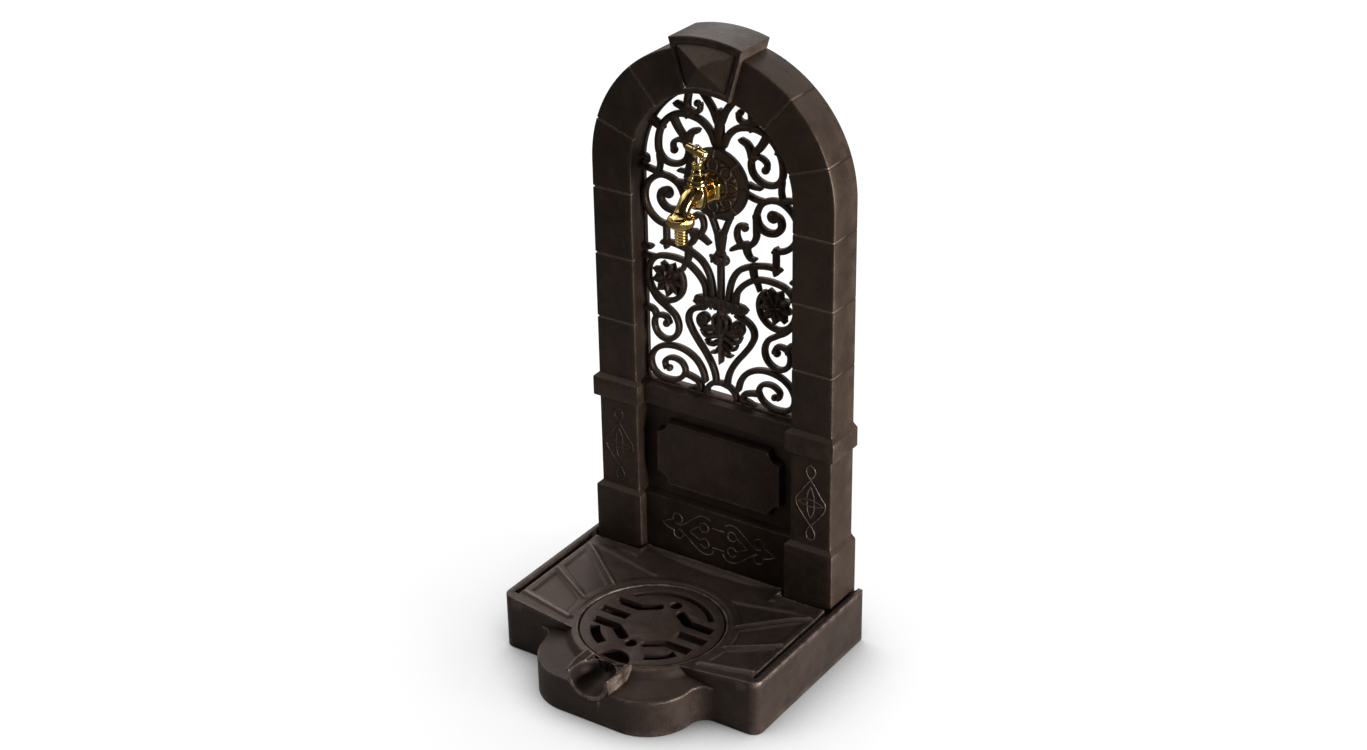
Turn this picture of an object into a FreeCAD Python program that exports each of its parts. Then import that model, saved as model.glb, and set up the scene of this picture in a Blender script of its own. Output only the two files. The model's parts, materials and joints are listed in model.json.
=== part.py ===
"""A free-standing garden fountain: basin, arched surround, scroll grille and brass tap.

Lengths are in millimetres and angles in degrees. X runs to the right, Z up, and the front faces -Y.
The origin is on the ground under the middle of the fountain's bounding box. Depths are written as
distances from the wall that the fountain stands against, so a larger depth is nearer to the viewer.
"""
import FreeCAD, Part
import Sketcher
import math
import os
from types import SimpleNamespace

Vector = FreeCAD.Vector
Rotation = FreeCAD.Rotation
doc = FreeCAD.newDocument("garden_fountain")

SIZES = [
    # Upright
    ("column_outer", 168, "half width over the columns and outer radius of the arch"),
    ("column_inner", 112, "half width of the opening and inner radius of the arch"),
    ("column_depth", 52, "wall to the front of the columns"),
    ("jamb_back", 26, "wall to the back edge of the inner jamb walls"),
    ("spring_height", 587, "floor to the centre of the arch"),
    ("shell", 6, "wall thickness of the hollow surround"),
    ("foot_height", 62, "floor to the foot of the surround, in the basin's pocket"),
    ("overhang", 6, "how far bands and plinths stand out from the columns"),
    ("bevel", 5.5, "height of the sloped top of a band or plinth"),
    ("plinth_top", 143, "floor to the top edge of a plinth's face"),
    ("band_low", 272, "floor to the bottom of a band"),
    ("band_high", 297.5, "floor to the top edge of a band's face"),
    ("joint_low", 380, "floor to the lowest mortar joint"),
    ("joint_middle", 466, "floor to the middle mortar joint"),
    ("joint_high", 552.5, "floor to the highest straight mortar joint"),
    ("arch_joint_low", 19, "angle of the lower arch joint over the spring line"),
    ("arch_joint_high", 49, "angle of the upper arch joint over the spring line"),
    ("joint_width", 2, "width of a mortar joint"),
    ("joint_depth", 1.5, "depth of a mortar joint"),
    # Fixings
    ("edge", 1, "bevel on turned edges"),
    ("fit_gap", 0.3, "clearance between castings"),
    ("turned_gap", 0.1, "clearance on a threaded or turned fit"),
    ("hole_gap", 0.5, "clearance of a bolt or screw in a plain hole"),
    ("boss_inset", 11, "opening to the screws behind the jambs"),
    ("boss_radius", 5.5, "radius of a screw boss"),
    ("screw_radius", 2, "radius of a screw's shank"),
    ("screw_length", 14, "length of a screw's shank"),
    ("screw_head_radius", 4, "radius of a screw's head"),
    ("screw_head_height", 2.6, "height of a screw's head"),
    ("rim_flange", 6, "thickness of the rims of the grille and the lower panel"),
    ("rim_cover", 20, "how far those rims reach behind the jambs"),
    ("grille_screw_low", 335, "floor to the lower grille screws"),
    ("grille_screw_high", 470, "floor to the upper grille screws"),
    ("arch_screw_low", 32, "angle of the lower arch screws over the spring line"),
    ("arch_screw_high", 64, "angle of the upper arch screws over the spring line"),
    ("panel_screw_low", 100, "floor to the lower panel screws"),
    ("panel_screw_high", 250, "floor to the upper panel screws"),
        ("bolt_back", 16, "wall to the back base bolts"),
    ("bolt_front", 37, "wall to the front base bolts"),
    ("bolt_radius", 4, "radius of a base bolt"),
    ("bolt_head_radius", 7.5, "radius over the corners of a bolt head or nut"),
    ("bolt_head_height", 5.3, "height of a bolt head or nut"),
    ("bolt_end", 2, "length of thread that stands out of a nut"),
    ("washer_radius", 8, "outer radius of a base washer"),
    ("washer_height", 1.6, "thickness of a base washer"),
    # Keystone
    ("key_turn", 16, "half angle of the keystone"),
    ("key_foot", 2, "opening of the arch to the keystone's lower face"),
    ("key_cover", 14, "top of the arch to the keystone's top"),
    ("key_proud", 7, "how far the keystone's border stands out in front of the arch"),
    ("key_recess", 2, "depth of the keystone's face behind its border"),
    ("key_border", 6, "width of the border at the sides and the bottom"),
    ("key_brow", 9, "width of the border at the top"),
    ("key_point", 16, "how far the diamond point stands out of the border"),
    ("key_tip", 1, "half size of the blunt tip of the diamond point"),
    ("key_screw_pitch", 16, "middle to the keystone screws"),
    ("key_screw_offset", 2, "middle of the arch's width to the keystone screws"),
    # Lower panel
    ("panel_field", 31, "wall to the panel's recessed field"),
    ("panel_plaque", 42, "wall to the face of the plaque"),
    ("panel_frieze", 41.5, "wall to the face of the frieze"),
    ("panel_sill", 44, "wall to the face of the sill"),
    ("sill_low", 273, "floor to the bottom of the sill"),
    ("sill_high", 299, "floor to the top edge of the sill's face"),
    ("sill_slope", 2, "rise of the sill's sloped top"),
    ("frieze_top", 142.6, "floor to the top edge of the frieze"),
    ("ledge_slope", 3.4, "rise of the sloped ledge over the frieze"),
    ("plaque_margin", 21, "columns to the plaque"),
    ("plaque_low", 162.5, "floor to the bottom of the plaque"),
    ("plaque_high", 254, "floor to the top of the plaque"),
    ("plaque_notch", 16, "radius of the notches in the plaque's corners"),
    ("panel_top", 289, "floor to the top of the panel's rim"),
    # Scroll grille
    ("bar_back", 24, "wall to the back of the scroll bars"),
    ("bar_front", 34, "wall to the front of the scroll bars"),
    ("bar_width", 8, "width of a full scroll bar"),
    ("rim_lip", 2, "how far the grille's rim shows inside the jambs"),
    ("rail_top", 303.5, "floor to the top of the grille's foot rail"),
    # Basin
    ("plinth_gap", 4, "gap between a plinth and the basin's side rim"),
    ("basin_depth", 247, "wall to the basin's front wall"),
    ("basin_height", 73, "floor to the basin's rim"),
    ("basin_corner", 14, "radius of the basin's front corners"),
    ("basin_wall", 6, "thickness of the basin's walls"),
    ("basin_plate", 8, "thickness of the basin's deck under the pocket"),
    ("rim_width", 8, "width of the basin's rim"),
    ("gutter_width", 7, "width of the gutter inside the rim"),
    ("gutter_depth", 6, "depth of the gutter"),
    ("deck_edge", 72, "floor to the deck's outer edge"),
    ("dish_radius", 93, "radius of the dish at its foot"),
    ("dish_reach", 170, "radius of the dish at its top"),
    ("panel_sink", 2.5, "depth of the sunken deck panels"),
    ("rib_width", 8, "width of a raised rib, measured along the depth"),
    ("relief_start", 8, "collar to the inner ends of the ribs"),
    ("relief_side", 5, "deck's side edge to the outer ends of the ribs"),
    ("panel_end", 3, "outer ends of the ribs to the sunken panels"),
    ("panel_start", 2, "inner ends of the ribs to the sunken panels"),
    ("rib_rise", 2, "height of a rib over the deck"),
    ("pocket_gap", 8, "gap in front of the plinths and the panel"),
    ("lip_width", 9, "width of the lip in front of the panel"),
    ("pocket_side_gap", 2, "pocket to the inner side of a plinth"),
    ("lip_end", 3, "end of the middle lip to the side pockets"),
    ("side_lip_end", 6, "how far a side lip passes its pocket"),
    ("side_lip_width", 13, "width of the lips in front of the plinths"),
    ("sump_radius", 80, "radius of the sump under the grate"),
    ("sump_floor", 13, "floor to the bottom of the sump"),
    ("sump_wall", 5, "thickness of the sump's wall and floor"),
    ("drain_radius", 16, "radius of the drain hole"),
    ("collar_radius", 97, "radius of the round collar's top edge"),
    ("collar_foot", 106, "radius of the round collar at the step's top"),
    ("step_height", 48, "floor to the top edge of the front step"),
    ("step_rise", 3.5, "rise of the step's top from its edge to the collar"),
    ("step_reach", 135, "middle of the grate to the front of the step"),
    ("step_corner", 62.5, "radius of the step's round corners"),
    ("step_flat", 43, "half width of the step's flat front"),
    ("step_fillet", 21.5, "radius of the hollow between step and basin"),
    ("step_void", 30, "floor to the top of the hollow under the step"),
    ("spout_lip", 2, "how far the spout stands out in front of the step"),
    ("spout_radius", 25, "radius of the pouring spout's channel"),
    ("spout_axis", 62, "floor to the axis of the channel"),
    ("spout_sill", 3, "thickness of the sill between the grate's seat and the channel"),
    ("cheek_top", 69, "floor to the top of the spout's cheeks"),
    ("cheek_width", 9, "width of a cheek"),
    # Grate
    ("grate_radius", 88, "radius of the drain grate"),
    ("grate_gap", 2.5, "gap between the grate and the basin round it"),
    ("grate_reach", 190, "wall to the middle of the grate"),
    ("grate_height", 6, "thickness of the grate"),
    ("grate_sink", 1, "how far the grate's top lies below the dish"),
    ("slot_width", 12, "width of the grate's slots"),
    ("slot_inner", 36, "middle of the grate to the inner ends of its straight slots"),
    ("slot_outer", 76, "middle of the grate to the outer ends of its slots"),
    ("slot_step", 25, "spacing of the slot rows"),
    ("slot_bend", 34, "angle of the bent ends of the outer slots"),
    ("slot_tail", 24, "length of those bent ends"),
    ("arc_inner", 64, "inner radius of the arc slots"),
    ("arc_outer", 75, "outer radius of the arc slots"),
    ("arc_start", 33, "angle of the arc slots' outer ends, from the sides to the front"),
    ("arc_sweep", 31, "length of an arc slot in degrees"),
    ("crescent_inner", 69, "inner radius of the crescent slot"),
    ("crescent_sweep", 104, "length of the crescent slot in degrees"),
    ("eye_radius", 7.5, "radius of the two round holes"),
    ("eye_back", 52, "middle of the grate to the back round hole"),
    ("eye_front", 46, "middle of the grate to the front round hole"),
    ("bite_radius", 22, "radius of the finger bite"),
    # Tap: inlet
    ("tap_height", 586, "floor to the axis of the inlet"),
    ("tap_plate", 38, "radius of the plate in the grille that carries the tap"),
    ("rosette_radius", 44, "radius of the rosette"),
    ("rosette_rim", 5, "thickness of the rosette's rim"),
    ("rosette_edge", 2, "bevel of the rosette's rim"),
    ("rosette_swell", 0.7, "share of the radius where the dome is half as high"),
    ("rosette_flat", 1, "how far the flat boss stands out round the collar"),
    ("rosette_slope", 3, "width of the slope round that boss"),
    ("rosette_dome", 13, "thickness of the rosette at its middle"),
    ("shank_radius", 10.48, "radius of the inlet shank"),
    ("shank_back", 4, "wall to the open end of the inlet shank"),
    ("shank_bore", 6.5, "radius of the bore through the shank"),
    ("inlet_land", 8, "length of the thread at the shank's open end"),
    ("inlet_relief", 0.8, "depth of the groove between that thread and the lock nut"),
    ("collar_hex", 19, "radius over the corners of the inlet collar"),
    ("collar_length", 13, "length of the inlet collar"),
    ("collar_face", 15.5, "radius of the collar's front face"),
    ("collar_bevel", 4, "length of the collar's rounded front"),
    ("socket_radius", 9, "radius of the socket in the collar"),
    ("socket_depth", 8, "depth of that socket"),
    ("lock_nut_radius", 15.6, "radius over the corners of the lock nut"),
    ("lock_nut_height", 8, "height of the lock nut"),
    ("back_washer_radius", 20, "radius of the back washer"),
    ("back_washer_height", 2, "thickness of the back washer"),
    # Tap: body
    ("valve_reach", 17, "front of the collar to the axis of the spindle"),
    ("outlet_reach", 35, "axis of the spindle to the axis of the outlet"),
    ("chamber_radius", 11.3, "outer radius of the valve chamber"),
    ("chamber_cone", 3, "height of the cone under the chamber"),
    ("chamber_low", 18, "axis of the inlet to the bottom of the chamber"),
    ("chamber_high", 17, "axis of the inlet to the top of the chamber"),
    ("ring_radius", 12.6, "radius of the ring round the chamber's top"),
    ("ring_height", 4, "height of that ring"),
    ("neck_radius", 9.5, "radius of the neck between collar and chamber"),
    ("seat_wall", 3, "thickness of the wall that holds the valve seat"),
    ("seat_rise", 3, "axis of the inlet to the valve seat"),
    ("seat_bore", 5, "radius of the hole in the seat"),
    ("lower_bore", 8, "radius of the chamber below the seat"),
    ("upper_bore", 9, "radius of the chamber above the seat"),
    ("inlet_bore", 4.5, "radius of the passage below the seat"),
    ("chamber_floor", 3, "thickness of the chamber's bottom"),
    ("tube_rise", 3, "axis of the inlet to the axis of the tap's spout"),
    ("tube_radius", 8, "outer radius of the tap's spout"),
    ("tube_bore", 5.5, "radius of the bore in the tap's spout"),
    ("tube_start", 1.5, "chamber's bore to the end wall of the tube's bore"),
    ("tube_bend", 17, "bend radius of the tap's spout"),
    ("outlet_radius", 13.2, "radius of the outlet's thread"),
    ("outlet_height", 7.5, "height of the outlet's thread"),
    ("flare_height", 5, "height of the spout's flare"),
    # Tap: valve
    ("valve_radius", 7, "radius of the valve plate and its washer"),
    ("valve_washer_height", 3, "thickness of the valve washer"),
    ("valve_plate_height", 2, "thickness of the valve plate"),
    ("valve_stem_radius", 1.4, "radius of the valve plate's stem"),
    ("valve_stem_length", 8, "length of that stem"),
    ("valve_lift", 5, "lift of the valve from closed to open"),
    ("spindle_radius", 3, "radius of the spindle"),
    ("barrel_radius", 4.8, "radius of the spindle's threaded barrel"),
    ("bonnet_washer_height", 1, "thickness of the bonnet washer"),
    ("bonnet_skirt", 3, "length of the bonnet's skirt in the body"),
    ("bonnet_radius", 11.3, "radius of the bonnet's flange"),
    ("bonnet_flange", 3, "height of the bonnet's flange"),
    ("bonnet_cone", 4, "height of the bonnet's cone"),
    ("gland_thread", 6, "radius of the bonnet's top thread"),
    ("gland_thread_length", 6, "length of that thread"),
    ("packing_radius", 4.6, "outer radius of the gland packing"),
    ("packing_height", 4, "height of the gland packing"),
    ("gland_radius", 7.8, "radius over the corners of the gland nut"),
    ("gland_height", 15, "height of the gland nut"),
    ("handle_rise", 53, "axis of the inlet to the axis of the T bar"),
    ("handle_radius", 5.2, "radius of the T bar"),
    ("handle_half", 19, "half length of the T bar"),
    ("handle_turn", 22, "how far the right end of the bar is turned to the front"),
    ("hub_radius", 6, "radius of the handle's hub"),
    ("hub_half", 6.2, "half height of the handle's hub"),
    ("spindle_bite", 8, "depth of the spindle in the handle's hub"),
    ("cap_screw_radius", 3.6, "radius of the handle screw's head"),
    ("cap_screw_height", 2, "height of the handle screw's head"),
    ("cap_screw_shank", 1.4, "radius of the handle screw's shank"),
    ("cap_screw_length", 10, "length of the handle screw's shank"),
    # Hose union
    ("union_radius", 15.8, "radius of the union nut"),
    ("union_lip", 1.8, "thickness of the lip under the hose tail's flange"),
    ("union_thread", 5.9, "length of thread that the union nut holds"),
    ("tail_flange", 2, "thickness of the hose tail's flange"),
    ("tail_flange_radius", 12.4, "radius of the hose tail's flange"),
    ("tail_washer", 1.8, "thickness of the hose tail's washer"),
    ("tail_radius", 7.5, "radius of the hose tail over its ridges"),
    ("tail_root", 6.6, "radius of the hose tail between its ridges"),
    ("tail_bore", 5, "radius of the hose tail's bore"),
    ("tail_length", 22, "length of the hose tail below its neck"),
    ("tail_slope", 0.8, "share of a ridge that slopes"),
    ("tail_ridges", 5, "number of ridges on the hose tail"),
]


class Size:
    """A number together with the spreadsheet expression that gives it."""

    def __init__(self, value, words=None):
        self.value = float(value)
        self.words = words or str(value)

    def __add__(self, other):
        other = sized(other)
        return Size(self.value + other.value, f"({self.words} + {other.words})")

    def __sub__(self, other):
        other = sized(other)
        return Size(self.value - other.value, f"({self.words} - ({other.words}))")

    def __mul__(self, other):
        other = sized(other)
        return Size(self.value * other.value, f"({self.words} * {other.words})")

    def __truediv__(self, other):
        other = sized(other)
        return Size(self.value / other.value, f"({self.words} / {other.words})")

    def __neg__(self):
        return Size(-self.value, f"(0 - {self.words})")

    def __radd__(self, other):
        return sized(other) + self

    def __rsub__(self, other):
        return sized(other) - self

    def __rmul__(self, other):
        return sized(other) * self


def sized(number):
    """A Size from a Size or a plain number."""
    return number if isinstance(number, Size) else Size(number)


def cosine(angle):
    """Cosine of an angle in degrees."""
    return Size(math.cos(math.radians(sized(angle).value)), f"cos({sized(angle).words})")


def sine(angle):
    """Sine of an angle in degrees."""
    return Size(math.sin(math.radians(sized(angle).value)), f"sin({sized(angle).words})")


def make_sheet():
    """Write the driving sizes into a spreadsheet and return them by name."""
    sheet = doc.addObject("Spreadsheet::Sheet", "dims")
    sizes = SimpleNamespace()
    for row, (alias, value, note) in enumerate(SIZES, 1):
        sheet.set(f"A{row}", note)
        sheet.set(f"B{row}", str(value))
        sheet.setAlias(f"B{row}", alias)
        setattr(sizes, alias, Size(value, "dims." + alias))
    doc.recompute()
    return sizes


s = make_sheet()
OVER = 1  # how far tools and joined blocks reach past a face, in millimetres

# Sizes that follow from others
step_front = s.grate_reach + s.step_reach
reach = step_front + s.spout_lip
rim_back = s.jamb_back - s.rim_flange
rim_outer = s.column_inner + s.rim_cover
boss_pitch = s.column_inner + s.boss_inset
column_middle = (s.column_inner + s.column_outer) / 2
key_low = s.column_inner + s.key_foot
key_high = s.column_outer + s.key_cover
key_screw_rise = column_middle + s.key_screw_offset
plaque_half = s.column_inner - s.plaque_margin
basin_half = s.column_outer + s.overhang + s.plinth_gap + s.rim_width
deck_half = basin_half - s.rim_width - s.gutter_width
void_top = s.foot_height - s.basin_plate
grate_top = s.foot_height - s.grate_sink
ledge_top = grate_top - s.grate_height
seat_radius = s.grate_radius + s.grate_gap
collar_back = s.bar_front + s.rosette_dome
collar_front = collar_back + s.collar_length
valve_axis = collar_front + s.valve_reach
outlet_axis = valve_axis + s.outlet_reach
body_top = s.tap_height + s.chamber_high
seat = s.tap_height + s.seat_rise
outlet_low = s.tap_height + s.tube_rise - s.tube_bend - s.outlet_height
bonnet_foot = body_top + s.bonnet_washer_height
gland_foot = bonnet_foot + s.bonnet_flange + s.bonnet_cone
gland_top = gland_foot + s.gland_thread_length
plate_low = seat + s.fit_gap + s.valve_washer_height
plate_high = plate_low + s.valve_plate_height
handle_axis = s.tap_height + s.handle_rise
spindle_top = handle_axis - s.hub_half + s.spindle_bite
flange_low = outlet_low - s.tail_washer - s.tail_flange
union_low = flange_low - s.union_lip

# Directions: x to the right, front away from the wall, up
TURNS = {"x": Rotation(Vector(0, 1, 0), 90), "front": Rotation(Vector(1, 0, 0), 90), "up": Rotation()}


def bind(obj, **links):
    """Bind properties of an object to sizes; a double underscore stands for a dot."""
    for name, number in links.items():
        obj.setExpression(name.replace("__", "."), sized(number).words)
    return obj


def place(obj, x, depth, height):
    """Put an object at x, a distance from the wall and a height over the floor."""
    return bind(obj, Placement__Base__x=x, Placement__Base__y=-sized(depth), Placement__Base__z=height)


def start(axis, at, begin):
    """The start point of a shape along an axis; at holds its other two coordinates."""
    return {"up": (at[0], at[1], begin), "front": (at[0], begin, at[1]), "x": (begin, at[0], at[1])}[axis]


def block(name, x, depth, height):
    """A box between pairs of x, depth and height."""
    obj = doc.addObject("Part::Box", name)
    bind(obj, Length=x[1] - sized(x[0]), Width=depth[1] - sized(depth[0]),
         Height=height[1] - sized(height[0]))
    return place(obj, x[0], depth[1], height[0])


def frustum(name, x, depth, x_top, depth_top, height):
    """A box whose top face has other sides than its bottom face."""
    obj = doc.addObject("Part::Wedge", name)
    obj.Placement.Rotation = TURNS["front"]
    bind(obj, Xmin=x[0], Xmax=x[1], X2min=x_top[0], X2max=x_top[1], Ymin=height[0], Ymax=height[1],
         Zmin=depth[0], Zmax=depth[1], Z2min=depth_top[0], Z2max=depth_top[1])
    return place(obj, 0, 0, 0)


def beam(name, axis, angle, along, across, span, at):
    """A straight bar turned by an angle about a point; axis up or front is the one that it turns about."""
    obj = doc.addObject("Part::Wedge", name)
    if axis == "up":
        obj.Placement.Rotation = Rotation(Vector(0, 0, 1), 1)
        low, high, bottom, top = -across / 2, across / 2, span[0], span[1]
        spot = (at[0], at[1], 0)
    else:
        obj.Placement.Rotation = Rotation(Vector(0, -1, 0), 1)
        low, high, bottom, top = -sized(span[1]), -sized(span[0]), -across / 2, across / 2
        spot = (at[0], 0, at[1])
    bind(obj, Xmin=along[0], Xmax=along[1], X2min=along[0], X2max=along[1], Ymin=low, Ymax=high,
         Zmin=bottom, Zmax=top, Z2min=bottom, Z2max=top, Placement__Rotation__Angle=angle)
    return place(obj, *spot)


def rod(name, axis, at, radius, span, sweep=360):
    """A cylinder along an axis, or the part of one that starts at the right side."""
    obj = doc.addObject("Part::Cylinder", name)
    obj.Placement.Rotation = TURNS[axis]
    bind(obj, Height=span[1] - sized(span[0]), Radius=radius, Angle=sweep)
    return place(obj, *start(axis, at, span[0]))


def cone(name, axis, at, radii, span):
    """A cone along an axis, with the radii at the two ends of its span."""
    obj = doc.addObject("Part::Cone", name)
    obj.Placement.Rotation = TURNS[axis]
    bind(obj, Height=span[1] - sized(span[0]), Radius1=radii[0], Radius2=radii[1])
    return place(obj, *start(axis, at, span[0]))


def sphere(name, at, radius):
    """A ball at x, depth and height."""
    return place(bind(doc.addObject("Part::Sphere", name), Radius=radius), *at)


def hexagon(name, axis, at, radius, span):
    """A six-sided bar along an axis; the radius is over its corners."""
    obj = doc.addObject("Part::Prism", name)
    obj.Polygon = 6
    obj.Placement.Rotation = TURNS[axis]
    bind(obj, Circumradius=radius, Height=span[1] - sized(span[0]))
    return place(obj, *start(axis, at, span[0]))


def sector(name, centre, radii, first, sweep, height):
    """A piece of a flat ring about a vertical axis; first is the angle from the right side to the wall."""
    pieces = []
    for part, radius, turn, angle in (("_outer", radii[1], first, sweep), ("_inner", radii[0], 0, 360)):
        obj = doc.addObject("Part::Cylinder", name + part)
        obj.Placement.Rotation = Rotation(Vector(0, 0, 1), 1)
        bind(obj, Radius=radius, Angle=angle, Height=height[1] - sized(height[0]),
             Placement__Rotation__Angle=turn)
        pieces.append(place(obj, centre[0], centre[1], height[0]))
    return cut(name, *pieces)


def fuse(name, *shapes):
    """One solid from several."""
    obj = doc.addObject("Part::MultiFuse", name)
    obj.Shapes = list(shapes)
    return obj


def cut(name, base, *tools):
    """A solid with others taken away."""
    obj = doc.addObject("Part::Cut", name)
    obj.Base = base
    obj.Tool = tools[0] if len(tools) == 1 else fuse(name + "_tools", *tools)
    return obj


def common(name, first, second):
    """The space that two solids share."""
    obj = doc.addObject("Part::Common", name)
    obj.Base = first
    obj.Tool = second
    return obj


def both(*shapes):
    """Solids and their mirror images on the left side."""
    copies = []
    for shape in shapes:
        obj = doc.addObject("Part::Mirroring", shape.Name + "_left")
        obj.Source = shape
        obj.Normal = Vector(1, 0, 0)
        copies.append(obj)
    return list(shapes) + copies


def group(name, solids):
    """Separate solids in one node."""
    obj = doc.addObject("Part::Compound", name)
    obj.Links = solids
    return obj


def outline(sketch, corners):
    """Draw a closed outline of straight lines with every corner bound to the sizes."""
    spots = [Vector(sized(x).value, sized(y).value, 0) for x, y in corners]
    count = len(spots)
    for i in range(count):
        sketch.addGeometry(Part.LineSegment(spots[i], spots[(i + 1) % count]), False)
    for i in range(count):
        sketch.addConstraint(Sketcher.Constraint("Coincident", i, 2, (i + 1) % count, 1))
    for i, (x, y) in enumerate(corners):
        for kind, number, axis in (("DistanceX", sized(x), -2), ("DistanceY", sized(y), -1)):
            if number.words == "0":
                sketch.addConstraint(Sketcher.Constraint("PointOnObject", i, 1, axis))
            else:
                index = sketch.addConstraint(Sketcher.Constraint(kind, -1, 1, i, 1, number.value))
                sketch.setExpression(f"Constraints[{index}]", number.words)


def sketched(name, kind, plane, corners):
    """A body with a sketch on one of its own planes and an empty feature of the given kind."""
    body = doc.addObject("PartDesign::Body", name)
    base = next(item for item in body.Origin.OriginFeatures if item.Role == plane)
    sketch = body.newObject("Sketcher::SketchObject", name + "_outline")
    sketch.AttachmentSupport = [(base, "")]
    sketch.MapMode = "FlatFace"
    outline(sketch, corners)
    sketch.Visibility = False
    feature = body.newObject(kind, name + "_feature")
    feature.Profile = sketch
    body.Tip = feature
    return body, sketch, feature


def turned(name, axis, at, corners):
    """A turned piece: an outline of (radius, place along the axis) corners."""
    body, sketch, feature = sketched(name, "PartDesign::Revolution", "XZ_Plane", corners)
    feature.ReferenceAxis = (sketch, ["V_Axis"])
    feature.Angle = 360
    body.Placement.Rotation = TURNS[axis]
    return place(body, *start(axis, at, 0))


def plan(name, corners, height):
    """An upright plate: an outline of (x, depth) corners between two heights."""
    flipped = [(x, -sized(depth)) for x, depth in corners]
    body, sketch, feature = sketched(name, "PartDesign::Pad", "XY_Plane", flipped)
    bind(feature, Length=height[1] - sized(height[0]))
    return place(body, 0, 0, height[0])


def front_plate(name, corners, depth, centre_height):
    """A plate that faces the front: an outline of (x, height over a centre) corners between two depths."""
    body, sketch, feature = sketched(name, "PartDesign::Pad", "XZ_Plane", corners)
    bind(feature, Length=depth[1] - sized(depth[0]))
    return place(body, 0, depth[0], centre_height)


def past(span, extra=1):
    """A span made longer at both ends, for a cut that goes right through."""
    return (span[0] - sized(extra), span[1] + sized(extra))


def step_outline(name, inset, height):
    """The front step with its round corners and the hollows where it meets the basin."""
    flat = s.step_flat
    corner = s.step_corner - inset
    middle = step_front - s.step_corner
    side = flat + s.step_corner
    hollow = s.step_fillet + inset
    hollow_x = side + s.step_fillet
    hollow_depth = s.basin_depth + s.step_fillet
    solids = [
        block(name + "_middle", (-flat, flat), (s.grate_reach, step_front - inset), height),
        block(name + "_sides", (-side + inset, side - inset), (s.grate_reach, middle), height),
        *both(rod(name + "_corner", "up", (flat, middle), corner, height)),
    ]
    corner_block = block(name + "_filler_block", (side - inset, hollow_x),
                         (s.basin_depth - inset, hollow_depth), height)
    filler = cut(name + "_filler", corner_block,
                 rod(name + "_hollow", "up", (hollow_x, hollow_depth), hollow, past(height)))
    return fuse(name, *solids, *both(filler))


def rounded_tray(name, inset, height):
    """The basin's outline with round front corners."""
    half = basin_half - inset
    front = s.basin_depth - inset
    corner = s.basin_corner - inset
    back = sized(inset)
    return fuse(name, block(name + "_wide", (-half, half), (back, front - corner), height),
                block(name + "_deep", (corner - half, half - corner), (back, front), height),
                *both(rod(name + "_corner", "up", (half - corner, front - corner), corner, height)))


def dish(name, sink):
    """The space over the sloping deck, lowered by an amount."""
    low = s.foot_height - sink
    return cone(name, "up", (0, s.grate_reach), (s.dish_radius, s.dish_reach), (low, s.deck_edge - sink))


def round_grate(radius, angle):
    """A point on a circle about the grate, as x and depth."""
    return (radius * cosine(angle), s.grate_reach - radius * sine(angle))


# Ribs and sunken panels of the right half of the deck: angles round the grate of their inner corners,
# and distances of their outer corners from the grate's middle to the wall
RIBS = [(28, 100), (2, 32), (-23, -35)]
DECK_PANELS = [(61, 29, (104,)), (24, 5, (40, 90)), (-1, -19, (-28, 26))]


def deck_reliefs():
    """The ribs, and the tools that sink the panels between them."""
    ribs, panels = [], []
    over = (s.foot_height - s.rib_rise, s.basin_height + s.rib_rise)
    inner = s.collar_radius + s.relief_start
    edge = deck_half - s.relief_side
    half = s.rib_width / 2
    for i, (angle, outer) in enumerate(RIBS):
        x, depth = round_grate(inner, angle)
        end = s.grate_reach - outer
        corners = [(x, depth - half), (edge, end - half), (edge, end + half), (x, depth + half)]
        ribs += both(cut(f"rib_{i}", plan(f"rib_{i}_foot", corners, over), dish(f"rib_{i}_top", -s.rib_rise)))
    for i, (first, last, outers) in enumerate(DECK_PANELS):
        ends = [(edge - s.panel_end, s.grate_reach - outer) for outer in outers]
        start = inner + s.panel_start
        corners = [round_grate(start, first), round_grate(start, last), *ends]
        panels += both(common(f"deck_panel_{i}", plan(f"deck_panel_{i}_foot", corners, over),
                              dish(f"deck_panel_{i}_floor", s.panel_sink)))
    return ribs, panels


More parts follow.
